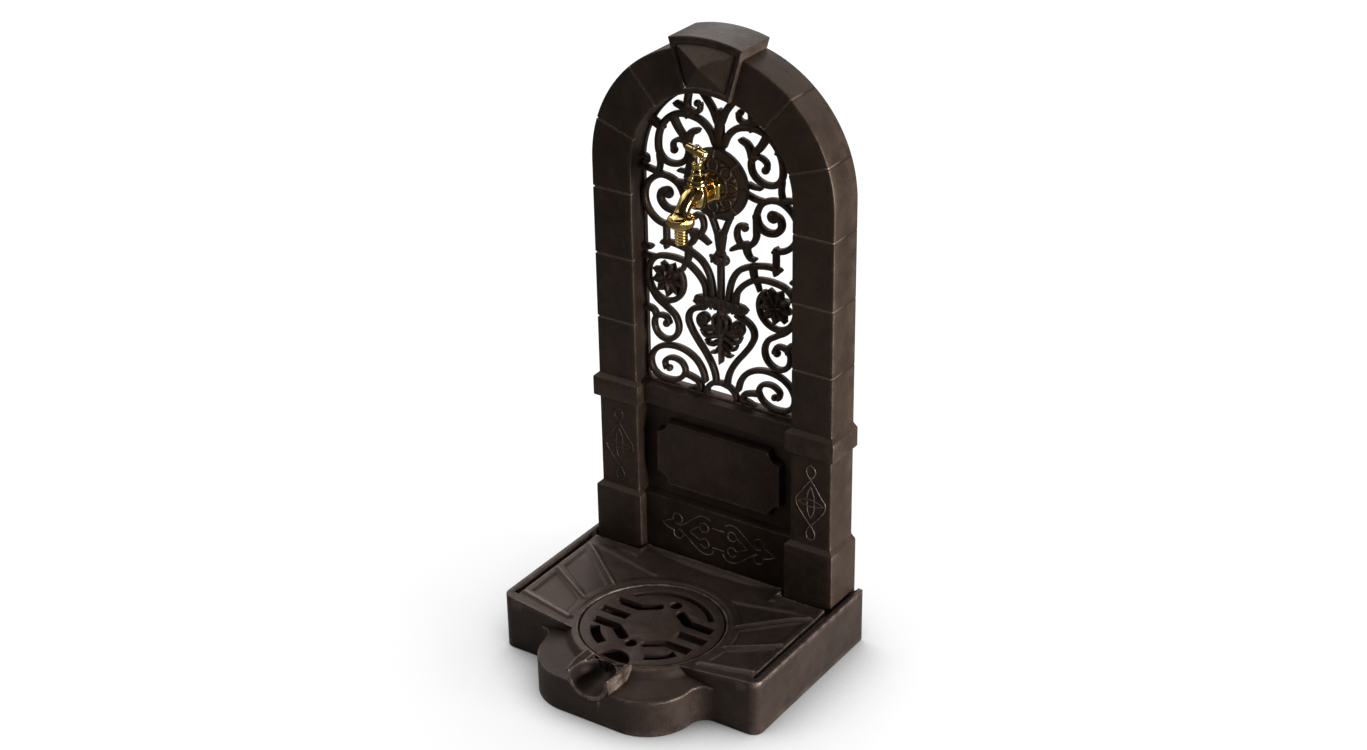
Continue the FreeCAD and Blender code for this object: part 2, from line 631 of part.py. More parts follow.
def basin_tray():
    """The basin with its deck, gutters, pocket for the upright, sump, front step and spout."""
    centre = (0, s.grate_reach)
    tall = (0, s.basin_height)
    step_top = s.step_height + s.step_rise
    step_slope = fuse("step_slope",
                      block("step_low", (-basin_half, basin_half), (0, step_front), (0, s.step_height)),
                      cone("step_cone", "up", centre, (step_front - s.grate_reach, s.collar_foot),
                           (s.step_height, step_top)))
    step = common("step", step_outline("step_block", sized(0), (0, step_top)), step_slope)
    collar = cone("collar", "up", centre, (s.collar_foot, s.collar_radius), (s.step_height, s.foot_height))
    cheek = s.spout_radius + s.cheek_width
    tip = s.spout_radius + s.cheek_width / 2
    back = s.grate_reach + s.dish_radius
    cheeks = plan("cheeks", [(-cheek, back), (cheek, back), (cheek, step_front - s.spout_radius),
                             (tip, reach), (-tip, reach), (-cheek, step_front - s.spout_radius)],
                  (s.spout_axis - s.spout_radius - s.shell / 2, s.cheek_top))

    ribs, panels = deck_reliefs()
    gutter = block("gutter", (deck_half, deck_half + s.gutter_width), (-OVER, s.basin_depth - s.basin_corner),
                   (s.basin_height - s.gutter_depth, s.basin_height + OVER))
    pocket_front = s.panel_frieze + s.pocket_gap
    side_front = s.column_depth + s.overhang + s.pocket_gap
    pocket_half = basin_half - s.rim_width
    pocket_side = s.column_inner - s.overhang - s.pocket_side_gap
    lip_half = pocket_side - s.lip_end
    up = (s.foot_height, s.basin_height + OVER)
    pockets = [block("pocket", (-pocket_half, pocket_half), (-OVER, pocket_front), up),
               *both(block("side_pocket", (pocket_side, pocket_half), (-OVER, side_front), up))]
    lips = [block("lip", (-lip_half, lip_half), (pocket_front, pocket_front + s.lip_width),
                  (void_top, s.deck_edge)),
            *both(block("side_lip", (pocket_side - s.side_lip_end, deck_half),
                        (side_front, side_front + s.side_lip_width), (void_top, s.deck_edge)))]
    plain_deck = block("over_deck", (-deck_half, deck_half), (-OVER, reach),
                       (s.deck_edge, s.basin_height + OVER))
    tray = cut("tray_dished", rounded_tray("tray_block", sized(0), tall), dish("deck_dish", 0), plain_deck,
               *both(gutter))
    relief = fuse("relief", cut("tray_panels", tray, *panels), *ribs, *lips)
    clipped = common("relief_clipped", relief,
                     rounded_tray("tray_clip", sized(0), (0, s.basin_height + OVER)))
    outside = fuse("basin_outside", cut("tray_pockets", clipped, *pockets), step, collar, cheeks)

    wall = s.basin_wall
    hollow = fuse("hollow", rounded_tray("tray_void", wall, (-OVER, void_top)),
                  step_outline("step_void_block", wall, (-OVER, s.step_void)))
    sump_outer = s.sump_radius + s.sump_wall
    shelf = rod("sump_shelf", "up", centre, s.collar_radius, (ledge_top - s.sump_wall - 4, s.foot_height))
    walls = rod("sump_wall_block", "up", centre, sump_outer, (s.sump_floor - s.sump_wall, s.foot_height))
    body = fuse("basin_body", cut("basin_shell", outside, hollow), shelf, walls)

    spout_back = s.grate_reach + seat_radius + s.spout_sill + s.spout_radius
    channel = fuse("channel",
                   rod("channel_rod", "front", (0, s.spout_axis), s.spout_radius, (spout_back, reach + OVER)),
                   sphere("channel_end", (0, spout_back, s.spout_axis), s.spout_radius),
                   rod("channel_top", "up", (0, spout_back), s.spout_radius, (s.spout_axis, s.basin_height)),
                   block("channel_open", (-s.spout_radius, s.spout_radius), (spout_back, reach + OVER),
                         (s.spout_axis, s.basin_height)))
    seat_top = (ledge_top, s.basin_height)
    holes = [rod(f"base_hole_{i}", "up", (column_middle, depth), s.bolt_radius + s.hole_gap,
                 (void_top - OVER, s.foot_height + OVER))
             for i, depth in enumerate((s.bolt_back, s.bolt_front))]
    return cut("basin_tray", body,
               rod("sump", "up", centre, s.sump_radius, (s.sump_floor, s.basin_height)),
               rod("grate_seat", "up", centre, seat_radius, seat_top),
               rod("drain", "up", centre, s.drain_radius, (0, s.sump_floor + OVER)),
               block("sill_cut", (-s.bite_radius, s.bite_radius),
                     (s.grate_reach + s.grate_radius, spout_back), (grate_top, s.basin_height)),
               channel, *both(*holes))


def drain_grate():
    """The loose round grate with its slots, eyes and finger bite."""
    height = (ledge_top, grate_top)
    through = past(height)
    middle = s.grate_reach
    half = s.slot_width / 2
    slots = both(block("slot_middle", (s.slot_inner, s.slot_outer), (middle - half, middle + half), through))
    for side, row in ((1, middle - s.slot_step), (-1, middle + s.slot_step)):
        name = "slot_back" if side == 1 else "slot_front"
        turn = side * (180 - s.slot_bend)
        end_x = s.slot_inner + s.slot_tail * cosine(180 - s.slot_bend)
        end_depth = row - side * s.slot_tail * sine(180 - s.slot_bend)
        outer = s.slot_outer - half
        elbow = (s.slot_inner, row)
        slots += both(block(name, (s.slot_inner, outer), (row - half, row + half), through),
                      rod(name + "_elbow", "up", elbow, half, through),
                      beam(name + "_tail", "up", turn, (0, s.slot_tail), s.slot_width, through, elbow),
                      rod(name + "_end", "up", (end_x, end_depth), half, through))
    arcs = both(sector("arc_slot", (0, middle), (s.arc_inner, s.arc_outer), -(s.arc_start + s.arc_sweep),
                       s.arc_sweep, through))
    crescent = sector("crescent", (0, middle), (s.crescent_inner, s.arc_outer), 90 - s.crescent_sweep / 2,
                      s.crescent_sweep, through)
    eyes = [rod("eye_back_hole", "up", (0, middle - s.eye_back), s.eye_radius, through),
            rod("eye_front_hole", "up", (0, middle + s.eye_front), s.eye_radius, through)]
    bite = rod("bite", "up", (0, middle + s.grate_radius), s.bite_radius, through)
    return cut("drain_grate", rod("grate_disc", "up", (0, middle), s.grate_radius, height), *slots, *arcs,
               crescent, *eyes, bite)


def moulding(name, low, high):
    """A band or plinth round the right column, with a sloped top."""
    inner = s.column_inner - s.overhang
    outer = s.column_outer + s.overhang
    split = s.panel_sill + s.fit_gap
    front = s.column_depth + s.overhang
    top = high + s.bevel
    return [
        block(name + "_front", (inner, outer), (split, front), (low, high)),
        block(name + "_back", (s.column_inner, outer), (0, split), (low, high)),
        frustum(name + "_front_slope", (inner, outer), (split, front),
                (s.column_inner, s.column_outer), (split, s.column_depth), (high, top)),
        frustum(name + "_back_slope", (s.column_inner, outer), (0, split),
                (s.column_inner, s.column_outer), (0, split), (high, top)),
    ]


def half_ring(name, radii, depth):
    """The upper half of a ring round the arch's centre."""
    centre = (0, s.spring_height)
    return cut(name, rod(name + "_outer", "front", centre, radii[1], depth, 180),
               rod(name + "_inner", "front", centre, radii[0], past(depth)))


def joints():
    """The mortar joints of the right column and the right half of the arch."""
    front = (s.column_depth - s.joint_depth, s.column_depth + OVER)
    side = (s.column_outer - s.joint_depth, s.column_outer + OVER)
    face = (s.column_inner - OVER, s.column_outer + OVER)
    grooves = []
    for i, height in enumerate((s.joint_low, s.joint_middle, s.joint_high)):
        level = (height - s.joint_width / 2, height + s.joint_width / 2)
        grooves += [block(f"joint_{i}", face, front, level),
                    block(f"joint_side_{i}", side, (-OVER, front[1]), level)]
    for i, angle in enumerate((s.arch_joint_low, s.arch_joint_high)):
        centre = (0, s.spring_height)
        grooves += [beam(f"arch_joint_{i}", "front", angle, face, s.joint_width, front, centre),
                    beam(f"arch_joint_side_{i}", "front", angle, side, s.joint_width, (-OVER, front[1]),
                         centre)]
    return grooves


def arch_spot(angle):
    """A screw position in the arch, as x and height."""
    return (boss_pitch * cosine(angle), s.spring_height + boss_pitch * sine(angle))


def grille_screw_spots():
    """The positions of the grille's screws on the right side."""
    return [(boss_pitch, s.grille_screw_low), (boss_pitch, s.grille_screw_high),
            arch_spot(s.arch_screw_low), arch_spot(s.arch_screw_high)]


def panel_screw_spots():
    """The positions of the lower panel's screws on the right side."""
    return [(boss_pitch, s.panel_screw_low), (boss_pitch, s.panel_screw_high)]


def key_screw_spot():
    """The position of the right keystone screw."""
    return (s.key_screw_pitch, s.spring_height + key_screw_rise)


def arch_surround():
    """The hollow surround: two columns with plinths and bands, and the arch."""
    front = s.column_depth
    spring = s.spring_height
    centre = (0, spring)
    columns = block("columns", (-s.column_outer, s.column_outer), (0, front), (s.foot_height, spring))
    arch = rod("arch", "front", centre, s.column_outer, (0, front))
    opening = [block("opening", (-s.column_inner, s.column_inner), (-OVER, front + OVER), (0, spring)),
               rod("opening_top", "front", centre, s.column_inner, (-OVER, front + OVER))]
    mouldings = moulding("plinth", s.foot_height, s.plinth_top) + moulding("band", s.band_low, s.band_high)
    solid = fuse("surround_solid", cut("surround_plain", fuse("surround_block", columns, arch), *opening),
                 *both(*mouldings))

    inner = s.column_inner + s.shell
    outer = s.column_outer - s.shell
    deep = (-OVER, front - s.shell)
    level = (s.foot_height + s.shell, spring)
    jamb = (s.column_inner - OVER, inner + OVER)
    voids = [*both(block("column_void", (inner, outer), deep, level),
                   block("jamb_void", jamb, (-OVER, s.jamb_back), level)),
             half_ring("arch_void", (inner, outer), deep),
             half_ring("arch_jamb_void", jamb, (-OVER, s.jamb_back))]
    hollow = cut("surround_hollow", solid, *voids, *both(*joints()))

    spots = grille_screw_spots() + panel_screw_spots()
    bosses = [rod(f"boss_{i}", "front", spot, s.boss_radius, (s.jamb_back, front - s.shell / 2))
              for i, spot in enumerate(spots)]
    hole = s.screw_radius + s.turned_gap
    blind = (s.jamb_back - OVER, rim_back + s.screw_length + OVER)
    holes = [rod(f"boss_hole_{i}", "front", spot, hole, blind) for i, spot in enumerate(spots)]
    holes.append(rod("key_hole", "front", key_screw_spot(), s.screw_radius + s.hole_gap,
                     past((deep[1], front))))
    for i, depth in enumerate((s.bolt_back, s.bolt_front)):
        holes.append(rod(f"foot_hole_{i}", "up", (column_middle, depth), s.bolt_radius + s.hole_gap,
                         past((s.foot_height, s.foot_height + s.shell))))
    return cut("arch_surround", fuse("surround_bosses", hollow, *both(*bosses)), *both(*holes))


def trapezoid(low, high, low_half, high_half):
    """Corners of a trapezoid that stands over the arch's centre."""
    return [(-low_half, low), (low_half, low), (high_half, high), (-high_half, high)]


def keystone():
    """The keystone: a raised border round a four-sided diamond point, and a saddle over the arch."""
    spring = s.spring_height
    centre = (0, spring)
    front = s.column_depth + s.key_proud
    slope = sine(s.key_turn) / cosine(s.key_turn)
    wide = key_high + OVER
    wedge = front_plate("key_wedge", [(0, 0), (wide * slope, wide), (-wide * slope, wide)], (0, front),
                        spring)
    plate = cut("key_plate", rod("key_outer", "front", centre, key_high, (0, front)),
                rod("key_inner", "front", centre, key_low, (-OVER, front + OVER)))
    arch = rod("key_arch", "front", centre, s.column_outer + s.fit_gap, (-1, s.column_depth))
    low = key_low + s.key_border
    high = key_high - s.key_brow
    side = s.key_border / cosine(s.key_turn)
    low_half = low * slope - side
    high_half = (high - s.key_brow / 2) * slope - side
    floor = front - s.key_recess
    face = trapezoid(low, high, low_half, high_half)
    recess = front_plate("key_recess_block", face, (floor, front + OVER), spring)
    block_shape = cut("key_block", common("key_sector", plate, wedge), arch, recess)
    middle = (low + high) / 2
    tip = trapezoid(middle - s.key_tip, middle + s.key_tip, s.key_tip, s.key_tip)
    point = doc.addObject("Part::Loft", "key_diamond")
    point.Sections = [level_sketch("key_diamond_foot", face, floor, spring),
                      level_sketch("key_diamond_tip", tip, front + s.key_point, spring)]
    point.Solid = True
    point.Ruled = True
    hole = rod("key_thread", "front", key_screw_spot(), s.screw_radius + s.turned_gap,
               (s.column_depth - OVER, s.column_depth - s.shell + s.screw_length - s.key_recess))
    return cut("keystone", fuse("key_solid", block_shape, point), *both(hole))


def level_sketch(name, corners, depth, centre_height):
    """A loose sketch that faces the front at a depth."""
    sketch = doc.addObject("Sketcher::SketchObject", name)
    sketch.Placement.Rotation = TURNS["front"]
    outline(sketch, corners)
    return place(sketch, 0, depth, centre_height)


def lower_panel():
    """The panel between the columns: field, sill, plaque, ledge and frieze, with a hidden rim."""
    half = s.column_inner - s.fit_gap
    foot = s.foot_height
    field = s.panel_field
    root = field - OVER
    behind = s.bar_front + s.fit_gap
    solids = [
        block("panel_plate", (-half, half), (rim_back, field), (foot, s.panel_top)),
        block("panel_rim", (-rim_outer, rim_outer), (rim_back, s.jamb_back),
              (foot + s.shell + s.fit_gap, s.panel_top)),
        block("sill_face", (-half, half), (root, s.panel_sill), (s.sill_low, s.panel_top)),
        block("sill_brow", (-half, half), (behind, s.panel_sill), (s.panel_top, s.sill_high)),
        frustum("sill_top", (-half, half), (behind, s.panel_sill), (-half, half), (behind, behind + OVER),
                (s.sill_high, s.sill_high + s.sill_slope)),
        block("frieze", (-half, half), (root, s.panel_frieze), (foot, s.frieze_top)),
        frustum("ledge", (-half, half), (root, s.panel_frieze), (-half, half), (root, field + OVER),
                (s.frieze_top, s.frieze_top + s.ledge_slope)),
    ]
    wide = (-plaque_half, plaque_half)
    over = (field, s.panel_plaque + OVER)
    notches = [rod(f"notch_{i}", "front", (plaque_half, height), s.plaque_notch, over)
               for i, height in enumerate((s.plaque_low, s.plaque_high))]
    plaque = cut("plaque", block("plaque_block", wide, (root, s.panel_plaque), (s.plaque_low, s.plaque_high)),
                 *both(*notches))
    holes = [rod(f"panel_hole_{i}", "front", spot, s.screw_radius + s.hole_gap, past((rim_back, s.jamb_back)))
             for i, spot in enumerate(panel_screw_spots())]
    return cut("lower_panel", fuse("panel_solid", *solids, plaque), *both(*holes))


def screw(name, at, head_front, length):
    """A pan-head screw that points to the front, with its head's face at a depth."""
    return turned(name, "front", at, [
        (0, head_front - s.screw_head_height),
        (s.screw_head_radius - s.edge, head_front - s.screw_head_height),
        (s.screw_head_radius, head_front - s.screw_head_height / 2), (s.screw_head_radius, head_front),
        (s.screw_radius, head_front), (s.screw_radius, head_front + length - s.edge),
        (s.screw_radius - s.edge, head_front + length), (0, head_front + length)])


def screws(name, spots, head_front, length):
    """The screws of one joint, on both sides."""
    pieces = [screw(f"{name}_{i}", spot, head_front, length) for i, spot in enumerate(spots)]
    return group(name, both(*pieces))


def base_fixings():
    """Bolts, washers and nuts that hold the columns' foot plates to the basin."""
    bolts, washers, nuts = [], [], []
    head = s.foot_height + s.shell
    nut_top = void_top - s.washer_height
    nut_low = nut_top - s.bolt_head_height
    for i, depth in enumerate((s.bolt_back, s.bolt_front)):
        at = (column_middle, depth)
        hole = s.bolt_radius + s.turned_gap
        bolts.append(fuse(f"base_bolt_{i}", hexagon(f"bolt_head_{i}", "up", at, s.bolt_head_radius,
                                                    (head, head + s.bolt_head_height)),
                          rod(f"bolt_shank_{i}", "up", at, s.bolt_radius,
                              (nut_low - s.bolt_end, head + OVER))))
        washer = (nut_top, void_top)
        washers.append(cut(f"base_washer_{i}", rod(f"washer_disc_{i}", "up", at, s.washer_radius, washer),
                           rod(f"washer_hole_{i}", "up", at, s.bolt_radius + s.hole_gap, past(washer))))
        nut = (nut_low, nut_top)
        nuts.append(cut(f"base_nut_{i}", hexagon(f"nut_block_{i}", "up", at, s.bolt_head_radius, nut),
                        rod(f"nut_hole_{i}", "up", at, hole, past(nut))))
    return [group("base_bolts", both(*bolts)), group("base_washers", both(*washers)),
            group("base_nuts", both(*nuts))]


def rosette():
    """The domed plate between the grille and the tap."""
    hole = s.shank_radius + s.turned_gap
    back = s.bar_front
    rim = back + s.rosette_rim
    high = back + s.rosette_dome
    flat = s.collar_hex + s.rosette_flat
    return turned("rosette", "front", (0, s.tap_height), [
        (hole, back), (s.rosette_radius, back), (s.rosette_radius, rim - s.rosette_edge),
        (s.rosette_radius - s.rosette_edge, rim), (s.rosette_radius * s.rosette_swell, (rim + high) / 2),
        (flat + s.rosette_slope, high - s.edge), (flat, high), (hole, high)])


def inlet_collar():
    """The six-sided collar and the threaded shank that goes through the grille to its open end."""
    at = (0, s.tap_height)
    bevel = collar_front - s.collar_bevel
    limit = fuse("collar_limit", rod("collar_limit_back", "front", at, s.collar_hex, (collar_back, bevel)),
                 cone("collar_limit_front", "front", at, (s.collar_hex, s.collar_face),
                      (bevel, collar_front)))
    block_shape = hexagon("collar_block", "front", at, s.collar_hex, (collar_back, collar_front))
    head = common("collar_head", block_shape, limit)
    groove = s.shank_back + s.inlet_land
    lock_nut_back = s.bar_back - s.back_washer_height - s.lock_nut_height
    shank = fuse("shank",
                 rod("inlet_land", "front", at, s.shank_radius, (s.shank_back, groove)),
                 rod("inlet_groove", "front", at, s.shank_radius - s.inlet_relief,
                     (groove - OVER, lock_nut_back)),
                 rod("shank_thread", "front", at, s.shank_radius, (lock_nut_back, collar_back + OVER)))
    socket = (collar_front - s.socket_depth, collar_front + OVER)
    return cut("inlet_collar", fuse("collar_solid", head, shank),
               rod("collar_socket", "front", at, s.socket_radius, socket),
               rod("shank_bore_hole", "front", at, s.shank_bore, past((s.shank_back, collar_front))))


def ring(name, axis, at, radii, span):
    """A plain ring along an axis."""
    return turned(name, axis, at, [(radii[0], span[0]), (radii[1], span[0]), (radii[1], span[1]),
                                   (radii[0], span[1])])


def back_fixings():
    """The washer and the lock nut that clamp the tap to the grille from behind."""
    at = (0, s.tap_height)
    hole = s.shank_radius + s.turned_gap
    washer_back = s.bar_back - s.back_washer_height
    nut = (washer_back - s.lock_nut_height, washer_back)
    return [ring("back_washer", "front", at, (hole, s.back_washer_radius), (washer_back, s.bar_back)),
            cut("lock_nut", hexagon("lock_nut_block", "front", at, s.lock_nut_radius, nut),
                rod("lock_nut_hole", "front", at, hole, past(nut)))]


def bend(name, radius):
    """A quarter of a ring tube from the spout's level run down to the outlet."""
    obj = doc.addObject("Part::Torus", name)
    obj.Placement.Rotation = Rotation(Vector(0, -1, 0), Vector(0, 0, 1), Vector(-1, 0, 0), "XYZ")
    bind(obj, Radius1=s.tube_bend, Radius2=radius, Angle3=90)
    return place(obj, 0, outlet_axis - s.tube_bend, s.tap_height + s.tube_rise - s.tube_bend)


def tap_body():
    """The tap's body: spigot, valve chamber with its seat, bent spout and threaded outlet."""
    inlet = (0, s.tap_height)
    tube = (0, s.tap_height + s.tube_rise)
    valve = (0, valve_axis)
    outlet = (0, outlet_axis)
    low = s.tap_height - s.chamber_low
    elbow = outlet_axis - s.tube_bend
    thread_top = outlet_low + s.outlet_height
    solid = fuse("tap_solid",
                 rod("spigot", "front", inlet, s.socket_radius - s.turned_gap,
                     (collar_front - s.socket_depth, collar_front + OVER)),
                 rod("neck", "front", inlet, s.neck_radius, (collar_front, valve_axis)),
                 rod("chamber", "up", valve, s.chamber_radius, (low, body_top)),
                 cone("chamber_foot", "up", valve, (s.lower_bore, s.chamber_radius),
                      (low - s.chamber_cone, low)),
                 rod("chamber_ring", "up", valve, s.ring_radius, (body_top - s.ring_height, body_top)),
                 rod("tube", "front", tube, s.tube_radius, (valve_axis, elbow)),
                 bend("tube_elbow", s.tube_radius),
                 cone("flare", "up", outlet, (s.outlet_radius, s.tube_radius),
                      (thread_top, thread_top + s.flare_height)),
                 rod("outlet_thread", "up", outlet, s.outlet_radius, (outlet_low, thread_top)))
    passage = s.tap_height + s.seat_rise - s.seat_wall - s.inlet_bore - s.fit_gap
    start_tube = valve_axis + s.lower_bore + s.tube_start
    upper = (seat, body_top + OVER)
    return cut("tap_body", solid,
               rod("spigot_bore", "front", inlet, s.shank_bore,
                   (collar_front - s.socket_depth - OVER, valve_axis - s.chamber_radius)),
               rod("inlet_passage", "front", (0, passage), s.inlet_bore, (collar_front, valve_axis)),
               rod("lower_chamber", "up", valve, s.lower_bore, (low + s.chamber_floor, seat - s.seat_wall)),
               rod("seat_hole", "up", valve, s.seat_bore, (seat - s.seat_wall - OVER, seat + OVER)),
               rod("upper_chamber", "up", valve, s.upper_bore, upper),
               block("tube_mouth", (-s.inlet_bore, s.inlet_bore), (valve_axis, start_tube + 2 * OVER),
                     (seat, seat + s.tube_bore - s.edge)),
               rod("tube_hole", "front", tube, s.tube_bore, (start_tube, elbow)),
               bend("elbow_hole", s.tube_bore),
               rod("outlet_hole", "up", outlet, s.tube_bore, (outlet_low - OVER, thread_top)))


def bonnet():
    """The headgear body that screws into the top of the tap body and guides the spindle."""
    bore = s.barrel_radius + s.turned_gap
    throat = s.spindle_radius + s.turned_gap
    skirt = s.upper_bore - s.turned_gap
    top_of_flange = bonnet_foot + s.bonnet_flange
    packing_foot = gland_top - s.packing_height
    return turned("bonnet", "up", (0, valve_axis), [
        (bore, body_top - s.bonnet_skirt), (skirt, body_top - s.bonnet_skirt), (skirt, bonnet_foot),
        (s.bonnet_radius, bonnet_foot), (s.bonnet_radius, top_of_flange - s.edge),
        (s.bonnet_radius - s.edge, top_of_flange), (s.gland_radius + s.edge / 2, gland_foot),
        (s.gland_thread, gland_foot), (s.gland_thread, gland_top),
        (s.packing_radius + s.turned_gap, gland_top), (s.packing_radius + s.turned_gap, packing_foot),
        (throat, packing_foot), (throat, gland_foot), (bore, gland_foot)])


def gland_nut():
    """The small six-sided nut that presses the packing."""
    at = (0, valve_axis)
    top = gland_foot + s.gland_height
    return cut("gland_nut", hexagon("gland_block", "up", at, s.gland_radius, (gland_foot, top)),
               rod("gland_thread_hole", "up", at, s.gland_thread + s.turned_gap,
                   (gland_foot - OVER, gland_top)),
               rod("gland_throat", "up", at, s.spindle_radius + s.turned_gap, (gland_top - OVER, top + OVER)))


def valve_parts():
    """The valve plate with its stem, the rubber washer on the seat, and the spindle that pushes them."""
    at = (0, valve_axis)
    washer_low = seat + s.fit_gap
    stem_top = plate_high + s.valve_stem_length
    plate = turned("jumper_valve", "up", at, [
        (0, plate_low), (s.valve_radius, plate_low), (s.valve_radius, plate_high),
        (s.valve_stem_radius, plate_high), (s.valve_stem_radius, stem_top), (0, stem_top)])
    washer = ring("valve_washer", "up", at, (s.valve_stem_radius, s.valve_radius), (washer_low, plate_low))
    foot = plate_high + s.fit_gap
    barrel_top = gland_foot - s.valve_lift - s.edge
    socket = s.valve_stem_radius + s.turned_gap
    thread = s.cap_screw_shank + s.turned_gap
    screw_end = handle_axis + s.hub_half - s.cap_screw_length
    spindle = turned("spindle", "up", at, [
        (socket, foot), (s.barrel_radius, foot), (s.barrel_radius, barrel_top),
        (s.spindle_radius, barrel_top), (s.spindle_radius, spindle_top), (thread, spindle_top),
        (thread, screw_end - OVER), (0, screw_end - OVER), (0, stem_top + OVER), (socket, stem_top + OVER)])
    return [plate, washer, spindle]


def packings():
    """The fibre ring under the bonnet and the packing round the spindle."""
    at = (0, valve_axis)
    return [ring("bonnet_washer", "up", at, (s.upper_bore, s.bonnet_radius), (body_top, bonnet_foot)),
            ring("gland_packing", "up", at, (s.spindle_radius + s.turned_gap, s.packing_radius),
                 (gland_top - s.packing_height, gland_top))]


def handle():
    """The T bar with its hub, and the screw that holds it on the spindle."""
    at = (0, valve_axis)
    low = handle_axis - s.hub_half
    high = handle_axis + s.hub_half
    bar = doc.addObject("Part::Cylinder", "handle_bar")
    bar.Placement.Rotation = Rotation(Vector(0, 0, 1), -s.handle_turn.value) * TURNS["x"]
    bind(bar, Radius=s.handle_radius, Height=s.handle_half * 2)
    side = s.handle_half * cosine(s.handle_turn)
    place(bar, -side, valve_axis - s.handle_half * sine(s.handle_turn), handle_axis)
    tee = cut("tee_handle", fuse("handle_solid", bar, rod("hub", "up", at, s.hub_radius, (low, high))),
              rod("hub_hole", "up", at, s.spindle_radius + s.turned_gap, (low - OVER, spindle_top)),
              rod("hub_screw_hole", "up", at, s.cap_screw_shank + s.turned_gap, (low, high + OVER)))
    cap_top = high + s.cap_screw_height
    shank_end = high - s.cap_screw_length
    cap = turned("handle_screw", "up", at, [
        (0, shank_end), (s.cap_screw_shank, shank_end), (s.cap_screw_shank, high), (s.cap_screw_radius, high),
        (s.cap_screw_radius, cap_top - s.edge), (s.cap_screw_radius - s.edge, cap_top), (0, cap_top)])
    return [tee, cap]


def hose_union():
    """The union nut, the ribbed hose tail and its washer, under the outlet."""
    at = (0, outlet_axis)
    thread = s.outlet_radius + s.turned_gap
    neck_hole = s.tail_radius + s.fit_gap
    nut_top = outlet_low + s.union_thread
    nut = turned("hose_union_nut", "up", at, [
        (neck_hole, union_low), (s.union_radius - s.edge, union_low), (s.union_radius, union_low + s.edge),
        (s.union_radius, nut_top - s.edge), (s.union_radius - s.edge, nut_top), (thread, nut_top),
        (thread, flange_low), (neck_hole, flange_low)])
    washer_low = flange_low + s.tail_flange
    tail_low = union_low - s.tail_length
    pitch = s.tail_length / s.tail_ridges
    corners = [(s.tail_bore, tail_low)]
    for i in range(int(s.tail_ridges.value)):
        foot = tail_low + pitch * i
        corners += [(s.tail_root, foot), (s.tail_radius, foot + pitch * s.tail_slope)]
    corners += [(s.tail_root, union_low), (s.tail_root, union_low + s.edge / 2),
                (s.tail_radius, union_low + s.edge), (s.tail_radius, flange_low),
                (s.tail_flange_radius, flange_low),
                (s.tail_flange_radius, washer_low), (s.tail_bore, washer_low)]
    return [nut, turned("hose_tail", "up", at, corners),
            ring("hose_tail_washer", "up", at, (s.tube_bore, s.tail_flange_radius), (washer_low, outlet_low))]


